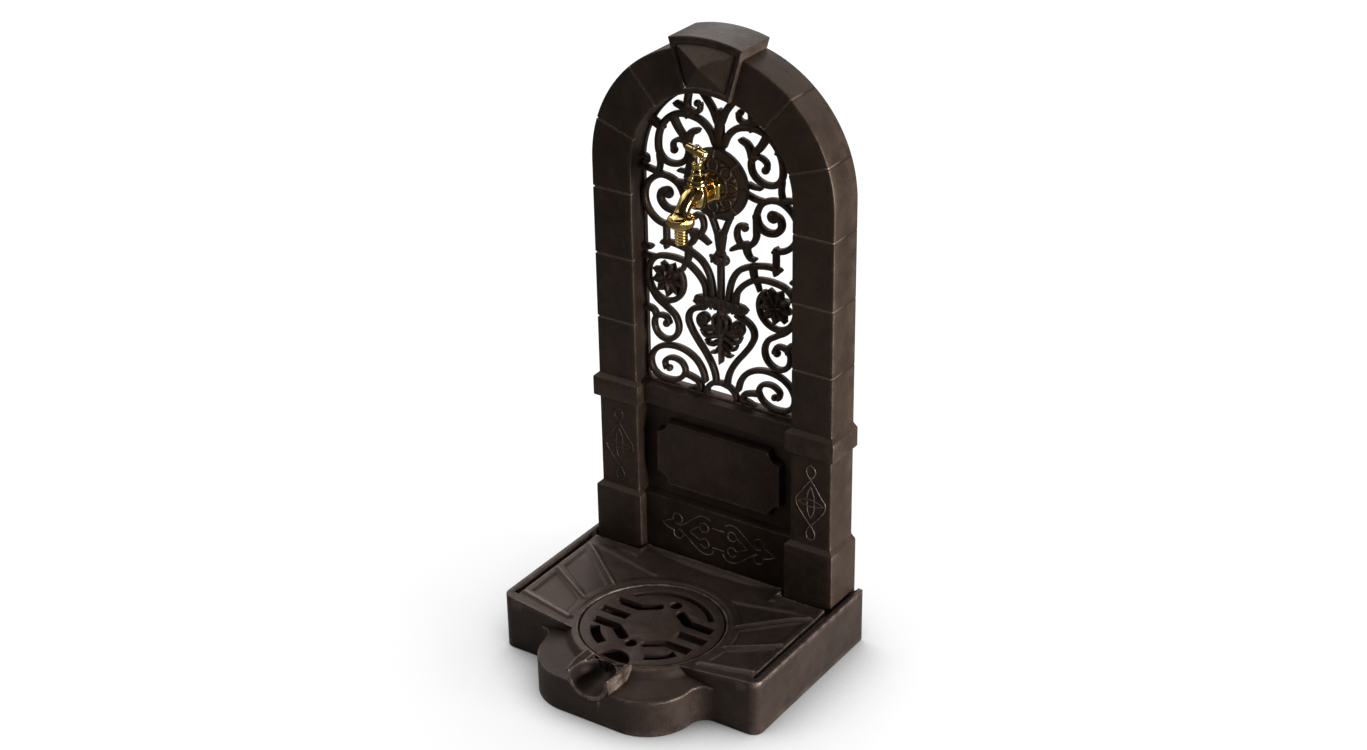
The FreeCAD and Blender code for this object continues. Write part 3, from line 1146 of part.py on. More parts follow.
# The scroll grille's pattern. Points are (x, height) in a pattern frame 112 wide from the middle and with
# the rail's top at 303.5 and the arch's centre at 587; widths are in shares of a full bar.
PATTERN_HALF = 112
PATTERN_RAIL = 303.5
PATTERN_SPRING = 587
PATTERN_BAR = 8
SIDE_BARS = [
    # foot ring and heart
    ([(22, 300), (20, 311), (12, 319), (0, 322)], 7, 7),
    ([(8, 322), (9, 330), (13, 342), (22, 357), (33, 371), (42, 384), (47, 397), (46, 404), (41, 411),
      (33, 415.5), (24, 418)], 8, 8),
    # lower spiral and its leaf
    ([(24, 320), (27, 331), (35, 343), (47, 351), (60, 354.5), (75, 354), (89, 349), (99, 340), (103.5, 328),
      (100.5, 316), (92, 309), (80, 307), (67, 309), (57, 316), (53, 325.5), (57, 334), (67, 338), (77, 336),
      (83, 330), (82, 323.5)], 8, 6.5),
    ([(52, 321), (42, 319), (33, 315), (30, 308), (34, 303)], 8, 8),
    ([(30, 309), (40, 307), (48, 303)], 4, 4),
    # side scroll
    ([(102, 428), (92, 414), (78, 405), (66, 396), (61.5, 384), (64, 372), (72, 364), (82, 361.5), (92, 366),
      (97, 376), (96, 386), (88, 392), (79, 391), (75.5, 385)], 8, 7),
    ([(94, 389), (97, 396), (104, 399), (114, 397)], 8, 8),
    # flower scroll with its ties
    ([(21, 437), (22.5, 447), (29, 457), (38, 465), (48, 471), (60, 473.5), (75, 473.5), (90, 470),
      (100, 461), (104.5, 447), (102, 431), (93, 419), (80, 414), (66, 418), (56.5, 428), (53.5, 440),
      (55, 450), (60, 458)], 8, 7),
    ([(97, 468), (114, 468)], 8, 8),
    ([(101, 480.5), (114, 480)], 8, 8),
    ([(45, 487), (47, 475), (52, 466), (54, 460)], 11, 5),
    # inner bar and upright bar
    ([(11, 437), (12.5, 450), (17, 465), (26, 478), (40, 486), (55, 490.5), (70, 492.5), (81, 491)], 8, 8),
    ([(77, 487), (77, 516)], 8, 8),
    ([(2, 512), (5, 521), (9, 532), (14, 543)], 7.5, 7.5),
    # small scroll with its leaves
    ([(50, 541), (50, 535), (50, 527), (46, 518), (39, 512)], 8, 8),
    ([(38, 510), (30, 512), (24, 520), (23.5, 529), (27, 536), (33, 537)], 7.5, 7),
    ([(36, 513), (25, 509.5), (15, 503)], 10, 3),
    ([(36, 512), (38, 503), (43, 497), (47, 497)], 11, 6),
    # large side scroll
    ([(50, 541), (50, 550), (52, 560), (57, 569), (68, 576), (82, 577.5), (95, 571), (104, 560), (107, 548),
      (105, 535), (98, 524), (88, 517), (76, 514)], 8, 8),
    ([(60, 573), (50, 574), (36, 578)], 8, 8),
    ([(50, 552), (52, 545), (58, 538.5), (68, 535.5), (78, 538), (84.5, 547), (82.5, 556), (75, 559.5)],
     10, 9),
    # bars at the spring of the arch
    ([(80, 578), (92, 581), (104, 583), (114, 585)], 8, 8),
    ([(85, 602), (84, 590), (86, 581)], 7, 7),
    ([(40, 590), (52, 588), (57, 588)], 7, 3),
    # top scroll, its leaf and hook
    ([(6, 632), (12, 645), (24, 656), (38, 660), (52, 660), (65, 655.5), (76, 646), (83, 634), (86, 620),
      (84.5, 606), (77, 597.5), (66, 595), (54, 598), (45.5, 606), (43, 617), (45, 627), (41, 637),
      (33, 641.5)], 9, 4),
    ([(47, 630), (56, 640), (64, 653)], 9, 11),
    ([(46, 626), (56, 627), (64.5, 621), (64.5, 614)], 6.5, 6.5),
    ([(3, 660), (9, 674), (17, 685), (25, 695)], 9, 9),
    ([(42, 668), (33, 665.5), (27.5, 668), (26, 675)], 7, 6),
    ([(44, 660), (44, 675), (42, 695), (45, 704)], 9, 9),
    ([(46, 668), (58, 671)], 11, 9),
    ([(82, 639), (95, 645), (101, 648)], 12, 12),
    ([(114, 596), (103, 596), (102, 590)], 8, 5),
    # palmette lobes
    ([(0, 392), (14, 385), (22, 381)], 9, 8),
    ([(0, 378), (9, 372), (14, 370)], 9, 7),
    ([(5, 400), (20, 398)], 14, 14),
]
MIDDLE_BARS = [
    ([(0, 430), (0, 515)], 8.5, 8.5),
    ([(0, 478), (0, 497)], 25, 25),
    ([(0, 600), (0, 670)], 15, 12),
    ([(0, 425), (0, 351)], 20, 5),
    ([(14, 541), (-14, 541)], 5, 5),
]
# Round ends of the scrolls: x, height, radius
SIDE_BALLS = [(76, 323, 4.5), (79, 383, 5), (35, 534.5, 4.5), (73, 557, 8), (63, 613, 5), (29.5, 677, 4.5),
              (24.5, 401, 8.8)]
COLLAR_CORNERS = [(0, 437), (23, 436), (31, 431), (34.5, 425), (32, 420), (0, 420)]
FLOWER = (76, 443)
FLOWER_CORE = 17
FLOWER_PETALS = 8
FLOWER_PETAL = 5


def pattern_point(x, height):
    """A point of the pattern in the fountain's own sizes."""
    rise = (s.spring_height.value - s.rail_top.value) / (PATTERN_SPRING - PATTERN_RAIL)
    level = s.rail_top.value + (height - PATTERN_RAIL) * rise
    if height > PATTERN_SPRING:
        level = s.spring_height.value + (height - PATTERN_SPRING) * s.column_inner.value / PATTERN_HALF
    return Vector(x * s.column_inner.value / PATTERN_HALF, 0, level)


def pattern_size(width):
    """A width of the pattern in the fountain's own sizes."""
    return width * s.bar_width.value / PATTERN_BAR


def spline(points):
    """A smooth edge through points, or a straight one through two."""
    if len(points) == 2:
        return Part.makeLine(*points)
    curve = Part.BSplineCurve()
    curve.interpolate(points)
    return curve.toShape()


def bar_face(points, first, last):
    """A flat bar along a curve, with its width going from first to last and round ends."""
    middle = [pattern_point(x, height) for x, height in points]
    steps = [(b - a).Length for a, b in zip(middle, middle[1:])]
    total = sum(steps)
    left, right = [], []
    run = 0
    for i, point in enumerate(middle):
        before = middle[max(i - 1, 0)]
        after = middle[min(i + 1, len(middle) - 1)]
        along = (after - before).normalize()
        if 0 < i < len(middle) - 1:
            back, ahead = (point - before), (after - point)
            along = (back / back.Length ** 2 + ahead / ahead.Length ** 2).normalize()
        side = Vector(-along.z, 0, along.x) * pattern_size(first + (last - first) * run / total) / 2
        left.append(point + side)
        right.append(point - side)
        run += steps[i] if i < len(steps) else 0
    foot = (middle[0] - middle[1]).normalize() * pattern_size(first) / 2
    tip = (middle[-1] - middle[-2]).normalize() * pattern_size(last) / 2
    edges = [spline(left), Part.Arc(left[-1], middle[-1] + tip, right[-1]).toShape(), spline(right[::-1]),
             Part.Arc(right[0], middle[0] + foot, left[0]).toShape()]
    return Part.Face(Part.Wire(edges))


def disc_face(x, height, radius):
    """A round flat face in the pattern."""
    circle = Part.Circle(pattern_point(x, height), Vector(0, -1, 0), pattern_size(radius))
    return Part.Face(Part.Wire(circle.toShape()))


def flipped(face):
    """The same face on the left side."""
    return face.mirror(Vector(0, 0, 0), Vector(1, 0, 0))


def grille_faces():
    """All flat faces of the scroll pattern."""
    side = [bar_face(*bar) for bar in SIDE_BARS] + [disc_face(*disc) for disc in SIDE_BALLS]
    side.append(disc_face(*FLOWER, FLOWER_CORE))
    for i in range(FLOWER_PETALS):
        turn = 2 * math.pi * i / FLOWER_PETALS
        x, height = FLOWER
        side.append(disc_face(x + FLOWER_CORE * math.cos(turn), height + FLOWER_CORE * math.sin(turn),
                              FLOWER_PETAL))
    corners = [pattern_point(*corner) for corner in COLLAR_CORNERS]
    corners += [Vector(-point.x, 0, point.z) for point in corners[-2:0:-1]]
    middle = [bar_face(*bar) for bar in MIDDLE_BARS] + [Part.Face(Part.makePolygon(corners + corners[:1]))]
    plate = Part.Circle(Vector(0, 0, s.tap_height.value), Vector(0, -1, 0), s.tap_plate.value)
    middle.append(Part.Face(Part.Wire(plate.toShape())))
    return side + [flipped(face) for face in side] + middle


def scroll_grille():
    """The pierced panel: scroll bars in front, and a rim behind the jambs that the screws hold."""
    inner = s.column_inner.value - s.fit_gap.value
    lip = s.column_inner.value - s.rim_lip.value
    spring = s.spring_height.value
    rail = s.rail_top.value
    foot = s.panel_top.value + s.fit_gap.value
    back, bar_back, bar_front = rim_back.value, s.bar_back.value, s.bar_front.value

    def slab(half, low, depth, thick):
        upright = Part.makeBox(2 * half, thick, spring - low, Vector(-half, -depth - thick, low))
        round_top = Part.makeCylinder(half, thick, Vector(0, -depth, spring), Vector(0, -1, 0))
        return upright.fuse(round_top)

    pattern = grille_faces()
    flat = pattern[0].multiFuse(pattern[1:]).removeSplitter()
    bars = flat.translated(Vector(0, -bar_back, 0)).extrude(Vector(0, bar_back - bar_front, 0))
    bars = bars.common(slab(inner, rail - OVER, bar_back, bar_front - bar_back))
    window = slab(lip, rail, back - OVER, s.rim_flange.value + 2)
    rim = slab(rim_outer.value, foot, back, s.rim_flange.value).cut(window)
    rail_bar = Part.makeBox(2 * inner, bar_front - back, rail - foot, Vector(-inner, -bar_front, foot))
    solid = rim.fuse([rail_bar, bars]).removeSplitter()
    hole = s.screw_radius.value + s.hole_gap.value
    front = Vector(0, -1, 0)
    shank_hole = s.shank_radius.value + s.turned_gap.value
    tools = [Part.makeCylinder(shank_hole, reach.value, Vector(0, 0, s.tap_height.value), front)]
    for x, height in grille_screw_spots():
        for side in (1, -1):
            spot = Vector(side * sized(x).value, 0, sized(height).value)
            tools.append(Part.makeCylinder(hole, reach.value, spot, front))
    obj = doc.addObject("Part::Feature", "scroll_grille")
    obj.Shape = solid.cut(tools)
    return obj


def main():
    nodes = [basin_tray(), drain_grate(), arch_surround(), keystone(), lower_panel(), scroll_grille()]
    key_screw_length = s.screw_length - s.key_recess * 2
    nodes += [rosette(),
              screws("grille_screws", grille_screw_spots(), rim_back, s.screw_length),
              screws("panel_screws", panel_screw_spots(), rim_back, s.screw_length),
              screws("keystone_screws", [key_screw_spot()], s.column_depth - s.shell, key_screw_length)]
    nodes += base_fixings()
    nodes += [inlet_collar(), *back_fixings(), tap_body(), bonnet(), gland_nut(), *valve_parts(), *packings(),
              *handle(), *hose_union()]
    doc.recompute()
    for obj in doc.Objects:
        if {"Invalid", "Error"} & set(obj.State):
            raise RuntimeError(f"{obj.Name} did not recompute")
    for node in nodes:
        if node.Shape.isNull() or not node.Shape.isValid() or not node.Shape.Solids:
            raise RuntimeError(f"{node.Label} has no valid shape")
    os.makedirs("parts", exist_ok=True)
    # The wall is at y = 0 so far; the handed-in frame has its origin under the middle of the fountain.
    centre = Vector(0, reach.value / 2, 0)
    for node in nodes:
        shape = node.Shape.translated(centre)
        box = shape.BoundBox
        print(f"{node.Label}: {len(shape.Solids)} solids, {shape.Volume:.0f} mm3, "
              f"x {box.XMin:.1f} {box.XMax:.1f}, y {box.YMin:.1f} {box.YMax:.1f}, "
              f"z {box.ZMin:.1f} {box.ZMax:.1f}")
        shape.exportStep(f"parts/{node.Label}.step")


main()
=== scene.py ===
# %% [markdown]
# The imported fountain is loaded first.
# %% Load the imported fountain
import json
import math

import bmesh
import bpy
import numpy as np
from mathutils import Matrix, Vector


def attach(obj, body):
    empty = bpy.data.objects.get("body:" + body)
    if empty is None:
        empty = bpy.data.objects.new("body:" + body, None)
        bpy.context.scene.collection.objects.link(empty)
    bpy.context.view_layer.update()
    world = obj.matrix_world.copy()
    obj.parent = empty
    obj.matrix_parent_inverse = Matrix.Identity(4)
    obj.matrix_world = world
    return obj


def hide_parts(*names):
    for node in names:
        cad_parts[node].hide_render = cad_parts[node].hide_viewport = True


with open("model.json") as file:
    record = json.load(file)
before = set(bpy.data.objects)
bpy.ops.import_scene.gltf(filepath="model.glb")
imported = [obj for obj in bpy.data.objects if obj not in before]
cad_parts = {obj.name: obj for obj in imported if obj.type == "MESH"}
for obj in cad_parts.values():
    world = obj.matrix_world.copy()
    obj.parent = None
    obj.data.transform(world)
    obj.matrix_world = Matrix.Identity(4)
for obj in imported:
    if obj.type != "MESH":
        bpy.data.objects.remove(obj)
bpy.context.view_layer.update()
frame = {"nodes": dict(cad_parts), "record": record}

# %% [markdown]
# Sizes are in millimetres. A point is named by x, its distance from the wall, and its height over the floor.
# %% Sizes that the pieces share
MM = 0.001
WALL = 163.5
# The surround: half widths outside and inside, front, height of the arch's middle, jamb, wall and overhang
OUTER, INNER, FRONT, SPRING = 168.0, 112.0, 52.0, 587.0
JAMB_BACK, SHELL, OVERHANG = 26.0, 6.0, 6.0
# Heights of the deck, the plinths, the bands with their slopes, the rail under the grille and the tap
DECK, PLINTH_TOP, BAND_LOW, BAND_HIGH, SLOPE = 62.0, 143.0, 272.0, 297.5, 5.5
PANEL_BACK_TOP, RAIL_LOW, TAP_HEIGHT = 289.0, 289.3, 586.0
# Distances from the wall of the middle of the grate, of the tap and of its outlet
GRATE, TAP_AXIS, OUTLET_AXIS = 190.0, 77.0, 112.0


def spot(x, depth, height):
    """A list of points in the row frame, in metres: (x, WALL - depth, height) / 1000."""
    x, depth, height = np.broadcast_arrays(x, depth, height)
    return np.stack([x, WALL - depth, height], -1).reshape(-1, 3) * MM


def circle(count):
    """Angles of count points round a full turn."""
    return np.linspace(0, 2 * np.pi, count, endpoint=False)


def soft_step(value, width):
    """0 to 1 across width, centred on 0: t * t * (3 - 2 t), with t = value / width + 1/2."""
    t = np.clip(value / width + 0.5, 0, 1)
    return t * t * (3 - 2 * t)


def quads(rows, columns, wrap=False, close=False):
    """Faces of a grid of points given row by row. wrap joins the last column to the first, close the rows."""
    i, j = np.meshgrid(np.arange(rows - 1 + close), np.arange(columns - 1 + wrap), indexing="ij")
    here, below = i * columns, (i + 1) % rows * columns
    after = (j + 1) % columns
    return np.stack([here + j, here + after, below + after, below + j], -1).reshape(-1, 4)


def prism(rows, columns):
    """Faces of a closed outline that is repeated row by row, with a flat face at both ends."""
    outline = np.arange(columns)[None]
    return [quads(rows, columns, wrap=True)[:, ::-1], outline, (rows - 1) * columns + outline[:, ::-1]]


def pointed(rows, columns):
    """Faces of rings of points given row by row, closed at both ends to a point. These two points come last."""
    def fan(ring, centre):
        return np.stack([ring, np.roll(ring, -1), np.full(columns, centre)], -1)

    ring, total = np.arange(columns), rows * columns
    return [quads(rows, columns, wrap=True), fan(ring[::-1], total), fan(total - columns + ring, total + 1)]


def border(rows, columns):
    """The numbers of a grid's outermost points, in order round it."""
    index = np.arange(rows * columns).reshape(rows, columns)
    return np.concatenate([index[0], index[1:, -1], index[-1, -2::-1], index[-2:0:-1, 0]])


print("one unit is", MM, "m")

# %% [markdown]
# A piece is one or more closed shells. Each shell is a pair of points and faces. The signed volume says
# whether its faces look outwards. The turn of the surface at each point is kept, so that the paint can rub
# off the edges, which also paints the highlights that edges catch, and so that the corners get painted shade.
# %% Build a mesh piece from shells
def outwards(points, faces):
    """The faces, turned so that the shell's volume, the sum of p0 . (p1 x p2) / 6, is positive."""
    volume = 0
    for face in faces:
        p = points[face]
        for k in range(1, face.shape[1] - 1):
            volume += np.einsum("ij,ij->i", p[:, 0], np.cross(p[:, k], p[:, k + 1])).sum()
    return faces if volume > 0 else [face[:, ::-1] for face in faces]


def read(items, key, width, kind=float):
    """Values of a mesh's points or edges, one row for each."""
    values = np.zeros(len(items) * width, kind)
    items.foreach_get(key, values)
    return values.reshape(-1, width)


def edge_turn(mesh):
    """How sharply the surface turns at each point, in 1/mm: the mean over its edges of
    (n2 - n1) . (p2 - p1) / |p2 - p1|^2, positive on outer edges, smoothed once along the edges."""
    count = len(mesh.vertices)
    points, normals = read(mesh.vertices, "co", 3), read(mesh.vertex_normals, "vector", 3)
    a, b = read(mesh.edges, "vertices", 2, int).T
    degree = np.maximum(np.bincount(a, minlength=count) + np.bincount(b, minlength=count), 1)

    def mean(from_a, from_b):
        return (np.bincount(a, from_a, count) + np.bincount(b, from_b, count)) / degree

    step = points[b] - points[a]
    turn = np.einsum("ij,ij->i", normals[b] - normals[a], step) / np.maximum((step ** 2).sum(1), 1e-8) * MM
    value = mean(turn, turn)
    return np.clip((value + mean(value[b], value[a])) / 2, -2, 2)


def piece(name, shells, material, body="fountain", replaces=(), sharp=40, line=None):
    """A mesh object from shells (points, [faces]), with its material, body and material slot."""
    all_points, all_faces, base = [], [], 0
    for points, groups in shells:
        for group in outwards(points, groups):
            all_faces += (group + base).tolist()
        all_points.append(points)
        base += len(points)
    mesh = bpy.data.meshes.new(name)
    mesh.from_pydata(np.concatenate(all_points), [], all_faces)
    mesh.validate()
    mesh.shade_smooth()
    if sharp:
        mesh.set_sharp_from_angle(angle=math.radians(sharp))
    mesh.attributes.new("turn", "FLOAT", "POINT").data.foreach_set("value", edge_turn(mesh))
    if line is not None:
        mesh.attributes.new("line", "FLOAT", "POINT").data.foreach_set("value", line)
    mesh.materials.append(material)
    obj = bpy.data.objects.new(name, mesh)
    bpy.context.scene.collection.objects.link(obj)
    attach(obj, body)
    if replaces:
        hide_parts(*replaces)
    print(name, len(mesh.polygons), "faces")


def tube(path, halves, section):
    """A bar along a path of (x, height) points at a steady distance from the wall.

    halves holds the half width at each point, and section the bar's cross section as pairs (a, depth), with
    a from -1 to 1 across the width. Round ends: the last width goes on for one half width w as
    w sqrt(1 - t^2), at t of 1/3, 2/3 and 0.97."""
    along = np.gradient(path, axis=0)
    along /= np.linalg.norm(along, axis=1)[:, None]
    ends = np.array([1 / 3, 2 / 3, 0.97])
    narrow = np.sqrt(1 - ends ** 2)
    first = path[0] - along[0] * halves[0] * ends[::-1, None]
    last = path[-1] + along[-1] * halves[-1] * ends[:, None]
    path = np.vstack([first, path, last])
    half = np.concatenate([halves[0] * narrow[::-1], halves, halves[-1] * narrow])[:, None]
    right, up = np.pad(along, ((3, 3), (0, 0)), mode="edge").T[:, :, None]
    a, depth = np.array(section).T
    x, z = path[:, :1] - up * half * a, path[:, 1:] + right * half * a
    centres = spot(path[[0, -1], 0], (depth.max() + depth.min()) / 2, path[[0, -1], 1])
    return np.vstack([spot(x, depth, z), centres]), pointed(*x.shape)


def smooth_path(points, step):
    """A smooth line through points, and each place on it from 0 to 1: a cubic Hermite spline over chord length
    with Catmull-Rom slopes, h00 p0 + h10 m0 + h01 p1 + h11 m1, read every step millimetres."""
    points = np.array(points, float)
    knots = np.concatenate([[0], np.cumsum(np.linalg.norm(np.diff(points, axis=0), axis=1))])
    straight = len(points) == 2
    t = np.linspace(0, knots[-1], max(2 if straight else 4, int(knots[-1] / step) + 1))
    if straight:
        return points[0] + (points[1] - points[0]) * (t / knots[-1])[:, None], t / knots[-1]
    slopes = np.gradient(points, knots, axis=0)
    i = np.clip(np.searchsorted(knots, t, side="right") - 1, 0, len(knots) - 2)
    span = (knots[i + 1] - knots[i])[:, None]
    u = (t - knots[i])[:, None] / span
    line = ((2 * u ** 3 - 3 * u ** 2 + 1) * points[i] + (u ** 3 - 2 * u ** 2 + u) * span * slopes[i]
            + (3 * u ** 2 - 2 * u ** 3) * points[i + 1] + (u ** 3 - u ** 2) * span * slopes[i + 1])
    return line, t / knots[-1]


def mirrored(shells):
    """The shells and their mirror images."""
    return shells + [(points * (-1, 1, 1), faces) for points, faces in shells]


print("shell tools ready")

# %% [markdown]
# The casting is dark bronze paint on rough iron: blotches, a fine grain, painted shade in the corners and bright
# edges that are partly rubbed paint and partly painted highlight. One node group makes its colour, roughness
# and surface, and each material picks its own strength.
# %% Node group for the painted casting
def feed(socket, value):
    """Link an input to a socket, or set its value."""
    if isinstance(value, bpy.types.NodeSocket):
        socket.id_data.links.new(value, socket)
    else:
        socket.default_value = (*value, 1) if socket.type == "RGBA" else value


def fill(made, **values):
    """Feed a node's inputs and set its properties. A _ stands for a space in an input's name."""
    for key, value in values.items():
        name = key.replace("_", " ")
        if name in made.inputs:
            feed(made.inputs[name], value)
        else:
            setattr(made, key, value)
    return made


def node(tree, kind, *inputs, **values):
    """A new node whose first inputs are fed in order, and others by their names."""
    made = fill(tree.nodes.new(kind), **values)
    for socket, value in zip(made.inputs, inputs):
        feed(socket, value)
    return made


def ramp(source, low, high, to_low=0.0, to_high=1.0):
    """A value mapped from low..high to to_low..to_high and kept between them."""
    return node(source.id_data, "ShaderNodeMapRange", source, low, high, to_low, to_high).outputs[0]


def maths(operation, first, second=0):
    """One step of arithmetic on a socket and a socket or number."""
    return node(first.id_data, "ShaderNodeMath", first, second, operation=operation).outputs[0]


def plus(first, second):
    """The sum of a socket and a socket or number."""
    return maths("ADD", first, second)


def times(first, second):
    """The product of a socket and a socket or number."""
    return maths("MULTIPLY", first, second)


def blend_colour(factor, first, second):
    """A mix of two colours, given as sockets or as values."""
    made = node(factor.id_data, "ShaderNodeMix", factor, data_type="RGBA")
    feed(made.inputs[6], first)
    feed(made.inputs[7], second)
    return made.outputs[2]


def noise(place, scale, detail=3.0, rough=0.55):
    """A noise value over coordinates."""
    made = node(place.id_data, "ShaderNodeTexNoise", Vector=place)
    return fill(made, Scale=scale, Detail=detail, Roughness=rough).outputs["Fac"]


def casting_group():
    """Node group: colours of the dark and brown paint and of the bright edges (rubbed paint and painted
    highlight) in; colour, roughness and normal out.
    """
    tree = bpy.data.node_groups.new("painted_casting", "ShaderNodeTree")
    for way, kind, names in (("INPUT", "Color", "Dark Brown Worn"), ("INPUT", "Float", "Wear Grain"),
                             ("OUTPUT", "Color", "Colour"), ("OUTPUT", "Float", "Roughness"),
                             ("OUTPUT", "Vector", "Normal")):
        for name in names.split():
            tree.interface.new_socket(name, in_out=way, socket_type="NodeSocket" + kind)
    given = tree.nodes.new("NodeGroupInput").outputs
    place = tree.nodes.new("ShaderNodeTexCoord").outputs["Object"]
    blotch, cloud = noise(place, 14, 4, 0.6), noise(place, 55, 5, 0.65)
    grain, fine = noise(place, 420, 3, 0.6), noise(place, 1500, 2, 0.5)
    turn, line = (node(tree, "ShaderNodeAttribute", attribute_name=key).outputs["Fac"]
                  for key in ("turn", "line"))
    patchy = plus(ramp(blotch, 0.35, 0.68, 0, 0.6), ramp(cloud, 0.4, 0.7, 0, 0.4))
    colour = blend_colour(patchy, given["Dark"], given["Brown"])
    # Painted shade: where the surface turns inwards, in corners and creases, the colour is darkened towards near
    # black.
    colour = blend_colour(times(ramp(turn, -0.02, -0.25), 0.55), colour, (0.004, 0.003, 0.0025))
    rub = ramp(plus(cloud, times(grain, 0.6)), 0.62, 0.95)
    # Bright edges: rubbed paint where the surface turns outwards, which also paints the highlights that the edges
    # catch. The line attribute adds bright lines, which are painted highlights on the deck and the keystone.
    worn = times(times(ramp(turn, 0.05, 0.3), rub), given["Wear"])
    worn = maths("MAXIMUM", worn, times(line, ramp(grain, 0.3, 0.6, 0.45, 0.95)))
    rough = plus(ramp(cloud, 0.3, 0.7, 0.38, 0.5), ramp(fine, 0.3, 0.7, -0.03, 0.05))
    height = plus(plus(grain, times(fine, 0.35)), times(cloud, 1.6))
    bump = node(tree, "ShaderNodeBump", Distance=0.0004, Height=times(height, given["Grain"]))
    node(tree, "NodeGroupOutput", blend_colour(worn, colour, given["Worn"]), rough, bump.outputs["Normal"])
    return tree


def new_material(name):
    """A new material, its node tree and its main shader."""
    material = bpy.data.materials.new(name)
    material.use_nodes = True
    return material, material.node_tree, material.node_tree.nodes["Principled BSDF"]


def painted(name, dark, brown, worn, wear, grain=1.0):
    """A material of painted casting."""
    material, tree, shader = new_material(name)
    paint = node(tree, "ShaderNodeGroup", node_tree=CASTING, Dark=dark, Brown=brown, Worn=worn, Wear=wear,
                 Grain=grain).outputs
    fill(shader, Base_Color=paint["Colour"], Roughness=paint["Roughness"], Normal=paint["Normal"],
         Metallic=0.55, Specular_IOR_Level=0.35)
    return material


CASTING = casting_group()
cast = painted("cast_bronze_paint", (0.058, 0.038, 0.027), (0.094, 0.062, 0.044), (0.3, 0.22, 0.165), 0.3)
# The deck paint has strong bright edges: on the deck, the spout, the frieze knot and the right diamond they paint
# the highlights of ridges, lips and raised lines, on top of rubbed paint.
cast_deck = painted("cast_deck_paint", (0.056, 0.038, 0.03), (0.088, 0.06, 0.047), (0.38, 0.29, 0.235), 0.8)
cast_key = painted("cast_key_paint", (0.058, 0.038, 0.028), (0.094, 0.063, 0.046), (0.34, 0.26, 0.2), 0.3, 1.5)
iron = painted("grate_iron", (0.07, 0.046, 0.036), (0.105, 0.071, 0.055), (0.27, 0.2, 0.16), 0.5, 1.8)
print("casting materials ready")

# %% [markdown]
# Brass is polished, with faint brush lines and tarnish. Screws and bolts are zinc plated, and the washers are
# rubber or fibre.
# %% Materials of the tap and the fixings
def metal(name, light, dark, low, high, metallic=1.0, stretch=(1, 1, 1)):
    """A bare metal or rubber: two colours by noise, roughness between low and high, and a faint grain."""
    material, tree, shader = new_material(name)
    place = tree.nodes.new("ShaderNodeTexCoord").outputs["Object"]
    mapped = node(tree, "ShaderNodeMapping", Vector=place, Scale=stretch).outputs["Vector"]
    tarnish, grain = noise(place, 60, 4, 0.6), noise(mapped, 300, 3, 0.6)
    rough = plus(ramp(tarnish, 0.3, 0.7, low, (low + high) / 2), ramp(grain, 0.3, 0.7, 0, (high - low) / 2))
    bump = node(tree, "ShaderNodeBump", Distance=0.00004, Height=grain)
    fill(shader, Base_Color=blend_colour(ramp(tarnish, 0.42, 0.75), light, dark), Roughness=rough,
         Normal=bump.outputs["Normal"], Metallic=metallic)
    return material


brass = metal("polished_brass", (0.9, 0.64, 0.25), (0.72, 0.46, 0.15), 0.06, 0.16, stretch=(1, 1, 6))
zinc = metal("zinc_plate", (0.62, 0.62, 0.6), (0.45, 0.45, 0.42), 0.28, 0.45)
rubber = metal("black_rubber", (0.03, 0.03, 0.03), (0.018, 0.018, 0.017), 0.6, 0.8, metallic=0)
SHOWN = {"cast_iron": cast, "brass": brass, "brushed_steel": zinc, "rubber": rubber}
CLASSES = {row["slot"]: row["class"] for row in frame["record"]["materials"]}
for part in frame["record"]["subparts"]:
    key = part["material_slot"]
    for slot in frame["nodes"][part["node"]].material_slots:
        slot.material = iron if key == "grate_iron" else SHOWN[CLASSES[key]]
print("every node has a procedural material")

# %% [markdown]
# The surround is one profile swept up the right column, over the arch and down the left column. Bands and
# plinths push the profile out, and the joints cut a shallow light line into it.
# %% Arch surround
GROOVE = ((-1.7, 0), (-0.8, 1.3), (0.8, 1.3), (1.7, 0))
COLUMN_JOINTS, ARCH_JOINTS = (380, 466, 552.5), (19, 49)


def surround_profile():
    """Closed profile as rows (radius, depth, push across, push forward, cut across, cut forward)."""
    def corner(radius, depth, size, first, push=(0, 0), cut=(0, 0)):
        return [(radius + size * math.cos(angle), depth + size * math.sin(angle), *push, *cut)
                for angle in np.radians(np.linspace(first, first + 90, 4))]

    rows = [(OUTER, depth, 1, 0, -1, 0) for depth in (0.6, 20, 40)]
    rows += corner(OUTER - 1.8, FRONT - 1.8, 1.8, 0, (1, 1), (-1, -1))
    rows += [(radius, FRONT, 0, 1, 0, -1) for radius in (162, 150, 140, 130, 118)]
    rows += corner(INNER + 1.5, FRONT - 1.5, 1.5, 90, (-1, 1), (0, -1))
    rows += [(INNER, 44.7, -1, 0, 0, 0), (INNER, 44.2, 0, 0, 0, 0)]
    rows += corner(INNER + 1, JAMB_BACK + 1, 1, 180)
    hollow, outside = INNER + SHELL, OUTER - SHELL
    for radius, depth in ((hollow, JAMB_BACK), (hollow, 45.5), (hollow + 1.5, 46), (outside - 1.5, 46),
                          (outside, 45.5), (outside, 0.4), (outside + 0.4, 0), (OUTER - 0.6, 0)):
        rows.append((radius, depth, 0, 0, 0, 0))
    return np.array(rows)


